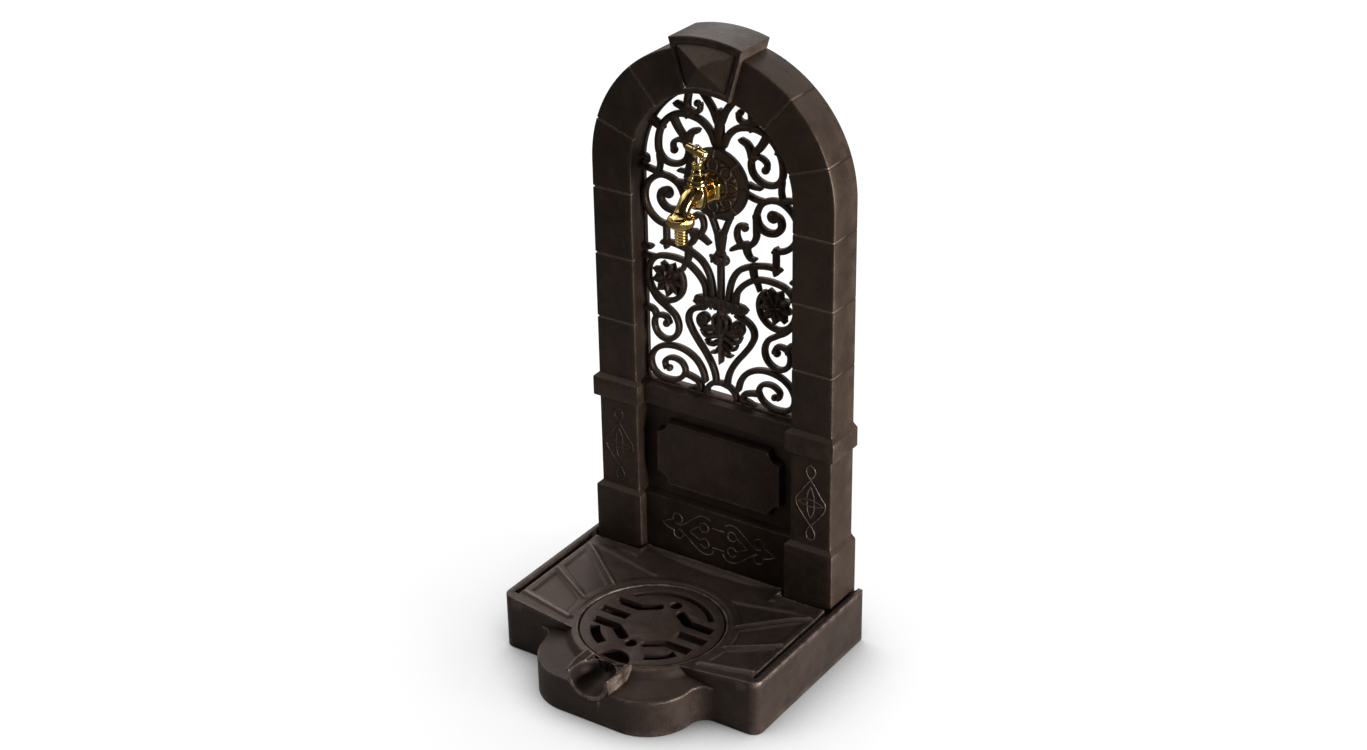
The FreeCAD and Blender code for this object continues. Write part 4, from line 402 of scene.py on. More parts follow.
def surround_rings():
    """Rings of the right half as rows (angle, shift along the path, push, cut). Column rings have angle 0."""
    def plain(places, joints, room):
        return [place for place in places if min(abs(place - joint) for joint in joints) > room]

    column = [(DECK, OVERHANG, 0), (66, OVERHANG, 0), (100, OVERHANG, 0), (BAND_LOW - 6, 0, 0),
              (BAND_LOW, 0, 0), (BAND_LOW + 0.1, 5, 0), (BAND_LOW + 0.4, 5.7, 0), (BAND_LOW + 1.2, OVERHANG, 0)]
    for top in (PLINTH_TOP, BAND_HIGH):
        column += [(top - 1.2, OVERHANG, 0), (top, 5.7, 0), (top + 0.8, 5.1, 0),
                   (top + SLOPE - 0.6, 0.5, 0), (top + SLOPE + 0.6, 0, 0)]
    heights = [*np.arange(160, 266, 15), *np.arange(312, 587, 12.5)]
    column += [(z, 0, 0) for z in plain(heights, COLUMN_JOINTS, 3)]
    column += [(joint + place, 0, cut) for joint in COLUMN_JOINTS for place, cut in GROOVE]
    arch = [(angle, 0, 0, 0) for angle in plain(np.arange(0, 90, 2.5), ARCH_JOINTS, 1.6)]
    arch += [(joint, place, 0, cut) for joint in ARCH_JOINTS for place, cut in GROOVE]
    return np.array([(0, z - SPRING, push, cut) for z, push, cut in sorted(column)]
                    + sorted(arch, key=lambda row: row[0] + row[1] * 0.4))


def arch_surround():
    """Sweep of the profile: x = r cos a - w sin a, height = SPRING + r sin a + w cos a."""
    crown, level, across, forward, cut_across, cut_forward = profile = surround_profile().T
    angle, shift, push, cut = surround_rings().T[:, :, None]
    angle = np.radians(angle)
    radius = crown + push * across + cut * cut_across
    depth = level + push * forward + cut * cut_forward
    x = radius * np.cos(angle) - shift * np.sin(angle)
    z = SPRING + radius * np.sin(angle) + shift * np.cos(angle)
    x = np.vstack([x, 0 * crown, -x[::-1]])
    z = np.vstack([z, SPRING + crown, z[::-1]])
    groove = (cut > 0) & (level > 30) & profile[4:].any(0)
    line = np.vstack([groove, 0 * crown, groove[::-1]]).ravel()
    shells = [(spot(x, np.vstack([depth, level, depth[::-1]]), z), prism(*x.shape))]
    foot = np.array((INNER + SHELL + 0.5, OUTER - SHELL - 0.5))
    for sign in (1, -1):
        shells.append(box_shell(sign * foot, (0, 45.6), (DECK, 68)))
        shells += [rod_shell((sign * x, z), 5.5, (JAMB_BACK, 46.5)) for x, z in BOSSES]
    return shells, np.pad(line, (0, sum(len(points) for points, _ in shells[1:])))


def box_shell(x, depth, z):
    """A plain box as a shell."""
    grid = np.array([(a, b, c) for a in x for b in depth for c in z])
    faces = np.array([(0, 1, 3, 2), (4, 6, 7, 5), (0, 4, 5, 1), (2, 3, 7, 6), (0, 2, 6, 4), (1, 5, 7, 3)])
    return spot(*grid.T), [faces]


def rod_shell(at, radius, depth):
    """A round bar that points to the front, at (x, height)."""
    angle = circle(20)
    x, z = at[0] + radius * np.cos(angle), at[1] + radius * np.sin(angle)
    return spot(x, np.array(depth)[:, None], z), prism(2, len(angle))


BOSS_LINE = 123
BOSSES = [(BOSS_LINE, height) for height in (335, 470, 100, 250)]
BOSSES += [(BOSS_LINE * math.cos(a), SPRING + BOSS_LINE * math.sin(a)) for a in np.radians((32, 64))]
surround_shells, surround_line = arch_surround()
piece("surround_casting", surround_shells, cast, replaces=("arch_surround",), line=surround_line)

# %% [markdown]
# The lower panel is a height field over its front: sill, sunk field, plaque with hollow corners, sloping ledge
# and frieze.
# %% Lower panel
PANEL_FACE, PANEL_HALF = 31.0, 111.7
PLAQUE_HALF, PLAQUE_LOW, PLAQUE_HIGH = 91, 162.5, 254


def panel_depth(x, z):
    """Distance of the panel's face from the wall at x and height z."""
    side = np.abs(x)
    inside = np.minimum(PLAQUE_HALF - side, np.minimum(z - PLAQUE_LOW, PLAQUE_HIGH - z))
    for height in (PLAQUE_LOW, PLAQUE_HIGH):
        inside = np.minimum(inside, np.hypot(side - PLAQUE_HALF, z - height) - 16)
    depth = PANEL_FACE + 11 * soft_step(inside - 0.9, 2.2)
    depth -= 0.5 * soft_step(inside - 4.5, 2.0)
    depth = np.maximum(depth, PANEL_FACE + 13 * soft_step(z - 273, 1.2))
    depth = np.maximum(depth, PANEL_FACE + 10.5 * np.clip((146 - z) / 3.4, 0, 1))
    return depth - np.clip((z - 299) / 2, 0, 1) * 9.4


def field_shell(xs, zs, depth, back):
    """A height field on a grid of x and height, closed by skirts and a flat back."""
    x, z = np.meshgrid(xs, zs)
    d = np.pad(depth(x, z), 1, mode="edge")
    x, z = np.pad(x, 1, mode="edge"), np.pad(z, 1, mode="edge")
    d[[0, -1]] = d[:, [0, -1]] = back
    return spot(x, d, z), [quads(*x.shape), border(*x.shape)[None, ::-1]]


edge = PLAQUE_HALF - np.linspace(-3, 20, 26)
panel_x = np.unique(np.concatenate([np.linspace(-PANEL_HALF, PANEL_HALF, 150), -edge, edge]))
panel_z = [np.linspace(DECK, 301, 120)]
for height, low, high, count in ((142.6, -0.6, 4.4, 9), (PLAQUE_LOW, -3, 18, 22), (PLAQUE_HIGH, -18, 3, 22),
                                 (273, -1.2, 1.8, 8), (299, -1, 2, 7)):
    panel_z.append(height + np.linspace(low, high, count))
panel_z = np.unique(np.concatenate(panel_z))
split = np.searchsorted(panel_z, PANEL_BACK_TOP)
panel_shells = [field_shell(panel_x, panel_z[:split], panel_depth, 20),
                field_shell(panel_x, panel_z[split - 1:], panel_depth, 34.3)]
panel_shells += mirrored([box_shell((111, 132), (20, 25.9), (68.3, PANEL_BACK_TOP))])
piece("lower_panel_casting", panel_shells, cast, replaces=("lower_panel",))

# %% [markdown]
# The frieze and the two columns carry thin raised lines: a knot on the frieze and a diamond on each column.
# %% Ornament lines
def ridge(points, depth, half=0.85, rise=0.8):
    """A thin raised line on a face: half a flattened circle swept along a smooth path."""
    line, _ = smooth_path(points, 1.5)
    section = [(math.cos(a), depth + rise * math.sin(a)) for a in np.linspace(0, np.pi, 6)]
    return tube(line, np.full(len(line), half), section + [(-0.9, depth - 0.6), (0.9, depth - 0.6)])


def ring_line(x, z, radius, first, last):
    """Points on a part of a circle, from one angle to another."""
    angle = np.radians(np.linspace(first, last, 13))
    return np.stack([x + radius * np.cos(angle), z + radius * np.sin(angle)], -1)


def both(lines):
    """Each line of points and its mirror image."""
    return [np.array(points) * (sign, 1) for points in lines for sign in (1, -1)]


KNOT = [[(-84, 106.5), (-76, 111.5), (-69, 114.7)], [(-84, 106.5), (-76, 102), (-68, 99.7)],
        [(-63, 110.7), (-57, 109.7), (-49, 114.7), (-37, 124.7), (-27, 131.7), (-19, 132.7), (-11, 129.7)],
        [(-59, 102.7), (-47, 95.7), (-35, 85.7), (-25, 79.7), (-17, 78.7), (-10, 81.7), (-7, 86.7)],
        [(-43, 104.7), (-35, 111.7), (-27, 116.7)], [(-43, 104.7), (-35, 100.7), (-27, 96.7)]]
KNOT_MIDDLE = [[(-8, 120), (0, 119.5), (8, 120)], [(-8, 91.5), (0, 92), (8, 91.5)]]
KNOT_RINGS = [(-61, 118.7, 7, 200, -70), (-60, 96.7, 7, 160, 430), (-21, 116.7, 6.5, -150, 150),
              (-20.5, 94.2, 6.5, -150, 150)]
knot = both(KNOT) + KNOT_MIDDLE + both(ring_line(*row) for row in KNOT_RINGS)
# The knot takes the deck paint: its strong bright edges paint the highlight along each raised line, and the
# inward crease beside each line gets painted shade.
piece("frieze_knot", [ridge(points, 41.5) for points in knot], cast_deck)

DIAMOND = [[(0, 259), (5.5, 254), (6, 248), (1.5, 241), (-6, 231), (-14, 219), (-20.5, 209), (-20, 203),
            (-12, 190), (-3, 179), (3, 172), (6, 164), (4, 157.5), (0, 156)],
           [(0, 229), (-4, 220), (-5, 208), (-4, 195), (0, 186)]]
DIAMOND_TIES = [[(-18, 206), (-9, 210.5), (0, 211.5), (9, 210), (18, 206.5)],
                [(-18, 206), (-9, 203.5), (0, 202.5), (9, 203.5), (18, 206.5)]]
# The right diamond takes the deck paint, whose stronger bright edges paint the brighter highlights that its lines
# show on the right; the left diamond keeps the plain paint.
for side, tag, paint in ((-140, "left", cast), (140, "right", cast_deck)):
    piece("column_diamond_" + tag, [ridge(np.array(points) + (side, 0), FRONT, 0.75, 0.7)
                                    for points in both(DIAMOND) + DIAMOND_TIES], paint)

# %% [markdown]
# The grille's bars are crowned rods that follow the pattern of scrolls. A bar is a path of (x, height) points
# with its width at both ends, and the left half mirrors the right one.
# %% Pattern of the scroll grille
SIDE_BARS = [
    # foot ring and heart
    ([(22, 300), (20, 311), (12, 319), (0, 322)], 7, 7),
    ([(8, 322), (9, 330), (13, 342), (22, 357), (33, 371), (42, 384), (47, 397), (46, 404), (41, 411),
      (33, 415.5), (24, 418)], 8, 8),
    # lower spiral and its leaf
    ([(24, 320), (27, 331), (35, 343), (47, 351), (60, 354.5), (75, 354), (89, 349), (99, 340), (103.5, 328),
      (100.5, 316), (92, 309), (80, 307), (67, 309), (57, 316), (53, 325.5), (57, 334), (67, 338), (77, 336),
      (83, 330), (82, 323.5)], 8, 6.5),
    ([(52, 321), (42, 319), (33, 315), (30, 308), (34, 303)], 8, 8),
    ([(30, 309), (40, 307), (48, 303)], 4, 4),
    # side scroll
    ([(102, 428), (92, 414), (78, 405), (66, 396), (61.5, 384), (64, 372), (72, 364), (82, 361.5), (92, 366),
      (97, 376), (96, 386), (88, 392), (79, 391), (75.5, 385)], 8, 7),
    ([(94, 389), (97, 396), (104, 399), (114, 397)], 8, 8),
    # flower scroll with its ties
    ([(21, 437), (22.5, 447), (29, 457), (38, 465), (48, 471), (60, 473.5), (75, 473.5), (90, 470),
      (100, 461), (104.5, 447), (102, 431), (93, 419), (80, 414), (66, 418), (56.5, 428), (53.5, 440),
      (55, 450), (60, 458)], 8, 7),
    ([(97, 468), (114, 468)], 8, 8),
    ([(101, 480.5), (114, 480)], 8, 8),
    ([(45, 487), (47, 475), (52, 466), (54, 460)], 11, 5),
    # inner bar and upright bar
    ([(11, 437), (12.5, 450), (17, 465), (26, 478), (40, 486), (55, 490.5), (70, 492.5), (81, 491)], 8, 8),
    ([(77, 487), (77, 516)], 8, 8),
    ([(2, 512), (5, 521), (9, 532), (14, 543)], 7.5, 7.5),
    # small scroll with its leaves
    ([(50, 541), (50, 535), (50, 527), (46, 518), (39, 512)], 8, 8),
    ([(38, 510), (30, 512), (24, 520), (23.5, 529), (27, 536), (33, 537)], 7.5, 7),
    ([(36, 513), (26, 509.5), (17, 504)], 11, 6),
    ([(36, 512), (38, 503), (43, 497), (47, 497)], 11, 6),
    # large side scroll
    ([(50, 541), (50, 550), (52, 560), (57, 569), (68, 576), (82, 577.5), (95, 571), (104, 560), (107, 548),
      (105, 535), (98, 524), (88, 517), (76, 514)], 8, 8),
    ([(60, 573), (50, 574), (36, 578)], 8, 8),
    ([(50, 552), (52, 545), (58, 538.5), (68, 535.5), (78, 538), (84.5, 547), (82.5, 556), (75, 559.5)],
     10, 9),
    # bars at the spring of the arch
    ([(80, 578), (92, 581), (104, 583), (114, 585)], 8, 8),
    ([(85, 602), (84, 590), (86, 581)], 7, 7),
    ([(40, 590), (50, 588.5), (56, 588.5)], 8, 5),
    # top scroll, its leaf and hook
    ([(6, 632), (12, 645), (24, 656), (38, 660), (52, 660), (65, 655.5), (76, 646), (83, 634), (86, 620),
      (84.5, 606), (77, 597.5), (66, 595), (54, 598), (45.5, 606), (43, 617), (45, 626)], 9, 8),
    ([(45, 625), (42, 634), (37.5, 640), (31, 643)], 12, 8),
    ([(47, 630), (56, 640), (64, 653)], 9, 11),
    ([(46, 626), (56, 627), (64.5, 621), (64.5, 614)], 6.5, 6.5),
    ([(3, 660), (9, 674), (17, 685), (25, 695)], 9, 9),
    ([(42, 668), (33, 665.5), (27.5, 668), (26, 675)], 7, 6),
    ([(44, 660), (44, 675), (42, 695), (45, 704)], 9, 9),
    ([(46, 668), (58, 671)], 11, 9),
    ([(82, 639), (95, 645), (101, 648)], 12, 12),
    ([(114, 596), (103, 596), (102, 590)], 8, 5),
]
# Round ends of the scrolls: x, height, radius
SIDE_BALLS = [(76, 323, 4.5), (79, 383, 5), (35, 534.5, 4.5), (73, 557, 8), (63, 613, 5), (29.5, 677, 4.5)]
print(len(SIDE_BARS), "bars on each side")

# %% [markdown]
# Balls, leaves and the pebbled collar are added to the bars, with the rail and the rim behind the jambs.
# %% Scroll grille
def crowned(middle, half, flat=0.75):
    """Cross section of a bar: |a| = |cos t|^flat, depth = middle + half sin t |sin t|^(flat - 1)."""
    angle = circle(14) + np.pi / 14
    a, rise = (np.sign(v) * np.abs(v) ** flat for v in (np.cos(angle), np.sin(angle)))
    return np.stack([a, middle + half * rise], -1)


def ball(centre, radii, columns=18, rows=9):
    """An ellipsoid with radii along x, depth and height."""
    up = np.linspace(-np.pi / 2, np.pi / 2, rows + 2)[1:-1, None]
    angle = circle(columns)
    x = centre[0] + radii[0] * np.cos(up) * np.cos(angle)
    depth = centre[1] + radii[1] * np.cos(up) * np.sin(angle)
    ends = spot(centre[0], centre[1], centre[2] + radii[2] * np.array((-1, 1)))
    return np.vstack([spot(x, depth, centre[2] + radii[2] * np.sin(up)), ends]), pointed(rows, columns)


def bar(points, first, last, section=None):
    """A pattern bar with widths that go from first to last."""
    line, t = smooth_path(points, 1.6)
    return tube(line, (first + (last - first) * t) / 2, crowned(29, 5) if section is None else section)


def leaf(points, widths, low, high):
    """A pointed leaf: half widths between the ends follow widths, and its crest rises to a depth of high."""
    line, t = smooth_path(points, 1.0)
    shoulder = low + (high - low) * 0.45
    section = [(-1, low), (-0.8, shoulder), (-0.25, high - 0.5), (0, high), (0.25, high - 0.5), (0.8, shoulder),
               (1, low), (0.7, low - 3), (-0.7, low - 3)]
    return tube(line, np.interp(t, np.linspace(0, 1, len(widths)), widths), section)


def flower(x, z):
    """Nine pointed petals round a ring of smaller ones and a domed middle."""
    shells = [ball((x, 27.5, z), (15.5, 5, 15.5), 24, 9)]
    for i in range(9):
        for turn, reach, *shape in ((0, (5, 13, 22.5), (3, 7, 7.8, 5.8, 0.9), 27, 34.5),
                                    (math.pi / 9, (2.5, 7, 12), (1, 3.1, 2.8, 0.7), 31, 37.5)):
            turn += 2 * math.pi * (i + 0.75) / 9
            points = [(x + math.cos(turn) * along, z + math.sin(turn) * along) for along in reach]
            shells.append(leaf(points, *shape))
    return shells + [ball((x, 34, z), (2.6, 3.5, 2.6), 12, 7)]


def pebbles(spots, radius, depth, seed, high):
    """Small lumps of slightly different sizes on a face."""
    wild = np.random.default_rng(seed)
    return [ball((x + wild.uniform(-0.6, 0.6), depth + wild.uniform(-0.5, 0.5), z + wild.uniform(-0.6, 0.6)),
                 (radius * wild.uniform(0.8, 1.25), high, radius * wild.uniform(0.8, 1.2)), 10, 5)
            for x, z in spots]


def rim_shell():
    """The flat rim behind the jambs, from the rail up one side, over the arch and down the other."""
    outline = [(110, 20.5), (110, 25.5), (110.5, 26), (131.5, 26), (132, 25.5), (132, 20), (110.5, 20)]
    across, depth = np.array(outline).T
    angle = np.radians(np.linspace(0, 180, 73))[:, None]
    x = np.vstack([across, across * np.cos(angle), -across])
    z = np.vstack([0 * across + RAIL_LOW, SPRING + across * np.sin(angle), 0 * across + RAIL_LOW])
    return spot(x, depth, z), prism(*x.shape)


def rail_depth(x, z):
    """Front of the bottom rail, with rounded edges."""
    edge = np.minimum(z - RAIL_LOW, 303.5 - z)
    return 34 - 1.2 * (1 - np.clip(edge / 1.2, 0, 1)) ** 2


half_grille = [bar(*row) for row in SIDE_BARS] + flower(76, 443)
half_grille += [ball((x, 30, z), (r, 5.5, r)) for x, z, r in SIDE_BALLS]
half_grille += [
    # curled top lobe of the palmette, then its two lower lobes
    bar([(3, 398), (10, 394.5), (19, 392), (27, 394), (31, 400), (29, 407), (23, 409.5), (18.5, 406), (19, 401)],
        9, 4.5, crowned(30, 5.5)),
    ball((24, 31, 401.5), (6.5, 5.5, 6.5)),
    leaf([(1, 386), (10, 384), (18, 381), (24, 383.5), (27, 388)], [3.5, 5, 4.6, 3.6, 2.2], 27, 35),
    leaf([(1, 378), (8, 374), (14, 371), (19, 372.5), (21, 376)], [3.5, 4.4, 4, 3, 1.8], 27, 34.5),
    leaf([(1, 370), (6, 365), (10, 361), (14, 361)], [3, 3.8, 3.2, 1.6], 27, 34),
    leaf([(4, 414), (9, 408), (9, 400), (5, 394)], [2, 4.5, 5, 3], 28, 36),
]
grille_shells = mirrored(half_grille) + [
    bar([(0, 430), (0, 515)], 8.5, 8.5),
    bar([(0, 600), (0, 670)], 15, 12),
    bar([(0, 499), (0, 508), (0, 516)], 11, 17),
    bar([(14, 541), (-14, 541)], 5, 5),
    leaf([(0, 420), (0, 395), (0, 372), (0, 351)], [6, 8, 6.5, 5, 4, 2], 28, 36.5),
    bar([(-29, 427), (-14, 429), (0, 429.4), (14, 429), (29, 427)], 15, 15, crowned(29.5, 7.4, 0.85)),
    ball((-31, 29.5, 427.5), (7.5, 5.5, 6)), ball((31, 29.5, 427.5), (7.5, 5.5, 6)),
    ball((0, 29.5, 486.5), (13, 7.5, 8.5), 22, 11),
    ball((0, 29.5, 493), (7.5, 6.5, 7), 22, 11),
    ball((0, 29, 586), (24, 4.9, 24), 40, 9),
    rim_shell(),
]
grille_shells += pebbles([(x, 424 + dz) for x in range(-29, 30, 6) for dz in (0, 4.5, 9)], 3.3, 35.6, 5, 1.5)
grille_shells += pebbles([(x, 482 + 3.6 * k + 0.3 * abs(x)) for x in (-9, -4.5, 0, 4.5, 9) for k in range(3)],
                         2.3, 35.2, 6, 2.4)
rail_z = [RAIL_LOW, 289.6, 290.1, 290.6, 296, 302.2, 302.7, 303.2, 303.5]
grille_shells.append(field_shell(np.linspace(-PANEL_HALF, PANEL_HALF, 40), rail_z, rail_depth, 20))
piece("scroll_grille_casting", grille_shells, cast, replaces=("scroll_grille",))

# %% [markdown]
# The keystone is a plate round the arch's middle. Its sunken face holds a four-sided point, and a curved saddle
# goes back over the arch.
# %% Keystone
KEY_LOW, KEY_HIGH, KEY_TURN = 114.0, 182.0, math.radians(16)
FACE_LOW, FACE_HIGH, APEX = 120.5, 173, 150.5


def key_side(x, up):
    """Distance of a place from the slanted edge of the sunken face, 6 inside the plate's own edge."""
    return up * math.sin(KEY_TURN) - np.abs(x) * math.cos(KEY_TURN) - 6


def key_depth(radius, angle):
    """Front of the keystone: a border at 59, a face at 57, and a point of
    18 min(side / side0, low / low0, high / high0) over it."""
    side = key_side(radius * np.sin(angle), radius * np.cos(angle))
    low, high = radius - FACE_LOW, FACE_HIGH - radius
    edge = np.minimum(side, np.minimum(low, high))
    steep = high / (FACE_HIGH - APEX)
    point = np.minimum(side / key_side(0, APEX), np.minimum(low / (APEX - FACE_LOW), steep))
    depth = 59 - 2 * soft_step(edge, 1.2) + 17.5 * np.clip(point - 0.02, 0, 1)
    border_room = np.minimum(np.minimum(radius - KEY_LOW, KEY_HIGH - radius), side + 6)
    upper = (edge > 1) & (steep <= point + 1e-6)
    return np.minimum(depth, 75) - 1.0 * (1 - np.clip(border_room / 1.2, 0, 1)) ** 2, low, side, upper


def keystone():
    """Rows over the radius, closed round the saddle, and columns over the angle, closed by side plates."""
    radii = np.concatenate([[114, 114.4, 115, 118], np.linspace(119.6, 121.6, 6), np.linspace(122.5, 171.5, 60),
                            np.linspace(172.2, 173.8, 5), [177, 181, 181.6, 182]])
    back = np.array([(182, 40), (182, 10), (182, 0.8), (181.4, 0.3), (168.6, 0.3), (168.3, 0.8), (168.3, 52.3),
                     (114, 52.3)])
    angle = KEY_TURN * np.unique(np.concatenate([np.linspace(-1, 1, 91), [-0.995, -0.985, 0.985, 0.995]]))
    depth, low, side, upper = key_depth(radii[:, None], angle)
    # Painted light: a bright line on the ledge under the sunk face, a lighter upper facet of the point where the
    # light falls on it, and a highlight on the right-hand edge only.
    line = 0.9 * (np.abs(low - 0.2) < 1.1) * (side > -1) + 0.3 * upper
    line = np.maximum(line, 0.5 * (np.abs(side) < 0.8) * (low > 0) * (low < 30) * (angle > 0))
    depth = np.vstack([depth, back[:, 1:] + 0 * angle])
    r = np.concatenate([radii, back[:, 0]])[:, None]
    index = np.arange(depth.size).reshape(depth.shape)
    faces = [quads(*depth.shape, close=True), index[:, 0][None], index[::-1, -1][None]]
    shell = spot(r * np.sin(angle), depth, SPRING + r * np.cos(angle)), faces
    return shell, np.pad(line, ((0, len(back)), (0, 0))).ravel()


key_shell, key_highlight = keystone()
piece("keystone_casting", [key_shell], cast_key, replaces=("keystone",), line=key_highlight, sharp=25)

# %% [markdown]
# The rosette is a dome with a broad smooth band, eight petals with raised rims and a boss in the middle.
# %% Rosette
def petals(radius, angle):
    """How far a point is inside a petal, 6.6 sin(pi u)^0.6 - |v| for u along it, and its distance to a knob."""
    step = math.pi / 4
    turn, turn_back = (angle + step / 2) % step - step / 2, angle % step - step / 2
    u = np.clip((radius * np.cos(turn) - 17.5) / 15.5, 0, 1)
    knob = np.hypot(radius * np.cos(turn_back) - 30.5, radius * np.sin(turn_back))
    return 6.6 * np.sin(np.pi * u) ** 0.6 - np.abs(radius * np.sin(turn)), knob


def rosette_depth(radius, angle):
    """Front of the rosette: a dome with raised petal rims, knobs between them and a flat boss."""
    depth = 39 + 4.5 * np.sqrt(np.clip((44 - radius) / 13, 0, 1)) + 1.5 * soft_step(31 - radius, 22)
    inside, knob = petals(radius, angle)
    depth = depth + 1.7 * np.exp(-(inside / 0.9) ** 2) + 0.8 * soft_step(inside - 2.4, 3.0)
    depth = depth + 1.9 * np.sqrt(np.clip(1 - (knob / 2.6) ** 2, 0, 1))
    depth = depth - 0.9 * np.exp(-((radius - 33.8) / 0.9) ** 2)
    boss = soft_step(20.3 - radius, 1.6)
    return np.minimum(depth * (1 - boss) + 47 * boss, 47)


def rosette():
    """Polar grid from the shank's hole to the rim, and round the flat back."""
    radii = np.concatenate([[9.3, 18, 19.5], np.arange(20, 44, 0.55), [43.6, 43.9]])
    back = np.array([(44, 38.3), (44, 36), (44, 34.5), (43.5, 34), (9.3, 34)])
    angle = circle(288)
    depth = np.vstack([rosette_depth(radii[:, None], angle), back[:, 1:] + 0 * angle])
    r = np.concatenate([radii, back[:, 0]])[:, None]
    inside, knob = petals(r, angle)
    line = 0.34 * np.exp(-(inside / 0.8) ** 2) * (r > 19) * (r < 36) + 0.3 * (knob < 1.6) * (r < 36)
    points = spot(r * np.cos(angle), depth, TAP_HEIGHT + r * np.sin(angle))
    return (points, [quads(*depth.shape, wrap=True, close=True)]), line.ravel()


rosette_shell, rosette_line = rosette()
piece("rosette_casting", [rosette_shell], cast, replaces=("rosette",), line=rosette_line)

# %% [markdown]
# The basin is one closed surface on rays from the grate's middle. Each ray goes from the grate's seat over the
# deck, down the front wall, over the step, down the outside, under the floor and up through the sump.
# %% Basin outline
# Half width, front and corner radius of the tray and of the step, and the radius of the hollow between them
TRAY, STEP, JOIN = (186.0, 247.0, 14.0), (105.5, 325.0, 62.5), 21.5
# Radii round the grate: the collar's edge, and the ring where the deck's own rows start
COLLAR, RING = 97.0, 109


def rounded_box(x, q, half, front, corner):
    """Distance to a box of half width half and depth 0..front whose front corners are round."""
    corner = np.where(q > front / 2, corner, 1.5)
    dx = np.abs(x) - half + corner
    dq = np.abs(q - front / 2) - front / 2 + corner
    return np.hypot(np.maximum(dx, 0), np.maximum(dq, 0)) + np.minimum(np.maximum(dx, dq), 0) - corner


def tray_distance(x, q):
    """Distance to the tray's outline."""
    return rounded_box(x, q, *TRAY)


def basin_distance(x, q):
    """Tray and step joined with a round hollow of h = JOIN, max(h, min(a, b)) - |(h - a, h - b)+|, and cut at
    the wall."""
    a, b = tray_distance(x, q), rounded_box(x, q, *STEP)
    near = np.hypot(np.maximum(JOIN - a, 0), np.maximum(JOIN - b, 0))
    return np.maximum(np.maximum(JOIN, np.minimum(a, b)) - near, -q)


def ray_radius(angle, distance, level, low):
    """Radius on each ray, from low to 300, at which the distance reaches a level, by bisection."""
    low, high = np.full_like(angle, low), np.full_like(angle, 300)
    for _ in range(40):
        middle = (low + high) / 2
        inside = distance(middle * np.cos(angle), GRATE - middle * np.sin(angle)) < level
        low, high = np.where(inside, middle, low), np.where(inside, high, middle)
    return (low + high) / 2


def basin_angles(count):
    """Ray angles, spaced 0.35 by angle and 0.65 by length along the outline."""
    angle = np.linspace(0, 2 * np.pi, 8001)
    radius = ray_radius(angle, basin_distance, 0.0, 60.0)
    steps = np.hypot(np.diff(radius * np.cos(angle)), np.diff(radius * np.sin(angle)))
    run = np.concatenate([[0], np.cumsum(steps)])
    weight = 0.35 * angle / angle[-1] + 0.65 * run / run[-1]
    return np.interp(np.arange(count) / count, weight, angle)


print("the outline turns round", GRATE, "mm from the wall")

# %% [markdown]
# The deck rises from the collar to its rim. It has sunk panels, ribs, a gutter along the sides, raised lips at
# the back and pockets for the columns' feet.
# %% Height of the deck and the step
# Both ends of each rib, its half width and rise, and the width and strength of its bright line
DECK_RIBS = [((92.7, 140.7), (164, 91), 3.4, 3.0, 1.5, 0.3), ((104.9, 186.3), (164, 159), 3.4, 2.8, 1.5, 0.32),
             ((96.7, 230.6), (165, 225.4), 5.0, 2.6, 2.4, 0.5)]
DECK_PANELS = [[(51.9, 96.4), (93.6, 138.1), (163, 86)],
               [(97.7, 146.5), (106.6, 180.7), (163, 150), (163, 100)],
               [(107, 191.9), (101.2, 224.8), (163, 218), (163, 164)]]
RIM_TOP, GUTTER_OUT = 73, 178
# The spout's bowl: depth of its middle and its radius, then the radii of the pit under it and of its underside
BOWL_DEPTH, BOWL, PIT, SPOUT_UNDER = 308.5, 25, 27.3, 29.6


def polygon_distance(x, q, corners):
    """Distance to a convex polygon, as the largest distance to its edge lines."""
    corners = np.array(corners)
    worst = -1e9
    for a, b in zip(corners, np.roll(corners, -1, 0)):
        out = np.array([b[1] - a[1], a[0] - b[0]]) / np.hypot(*(b - a))
        out = out if out @ (a - corners.mean(0)) > 0 else -out
        worst = np.maximum(worst, (x - a[0]) * out[0] + (q - a[1]) * out[1])
    return worst


def rib_place(x, q, first, last):
    """Place along a rib, distance from its line, and its length."""
    length = math.dist(first, last)
    right, away = (last[0] - first[0]) / length, (last[1] - first[1]) / length
    dx, dq = x - first[0], q - first[1]
    return dx * right + dq * away, np.abs(dq * right - dx * away), length


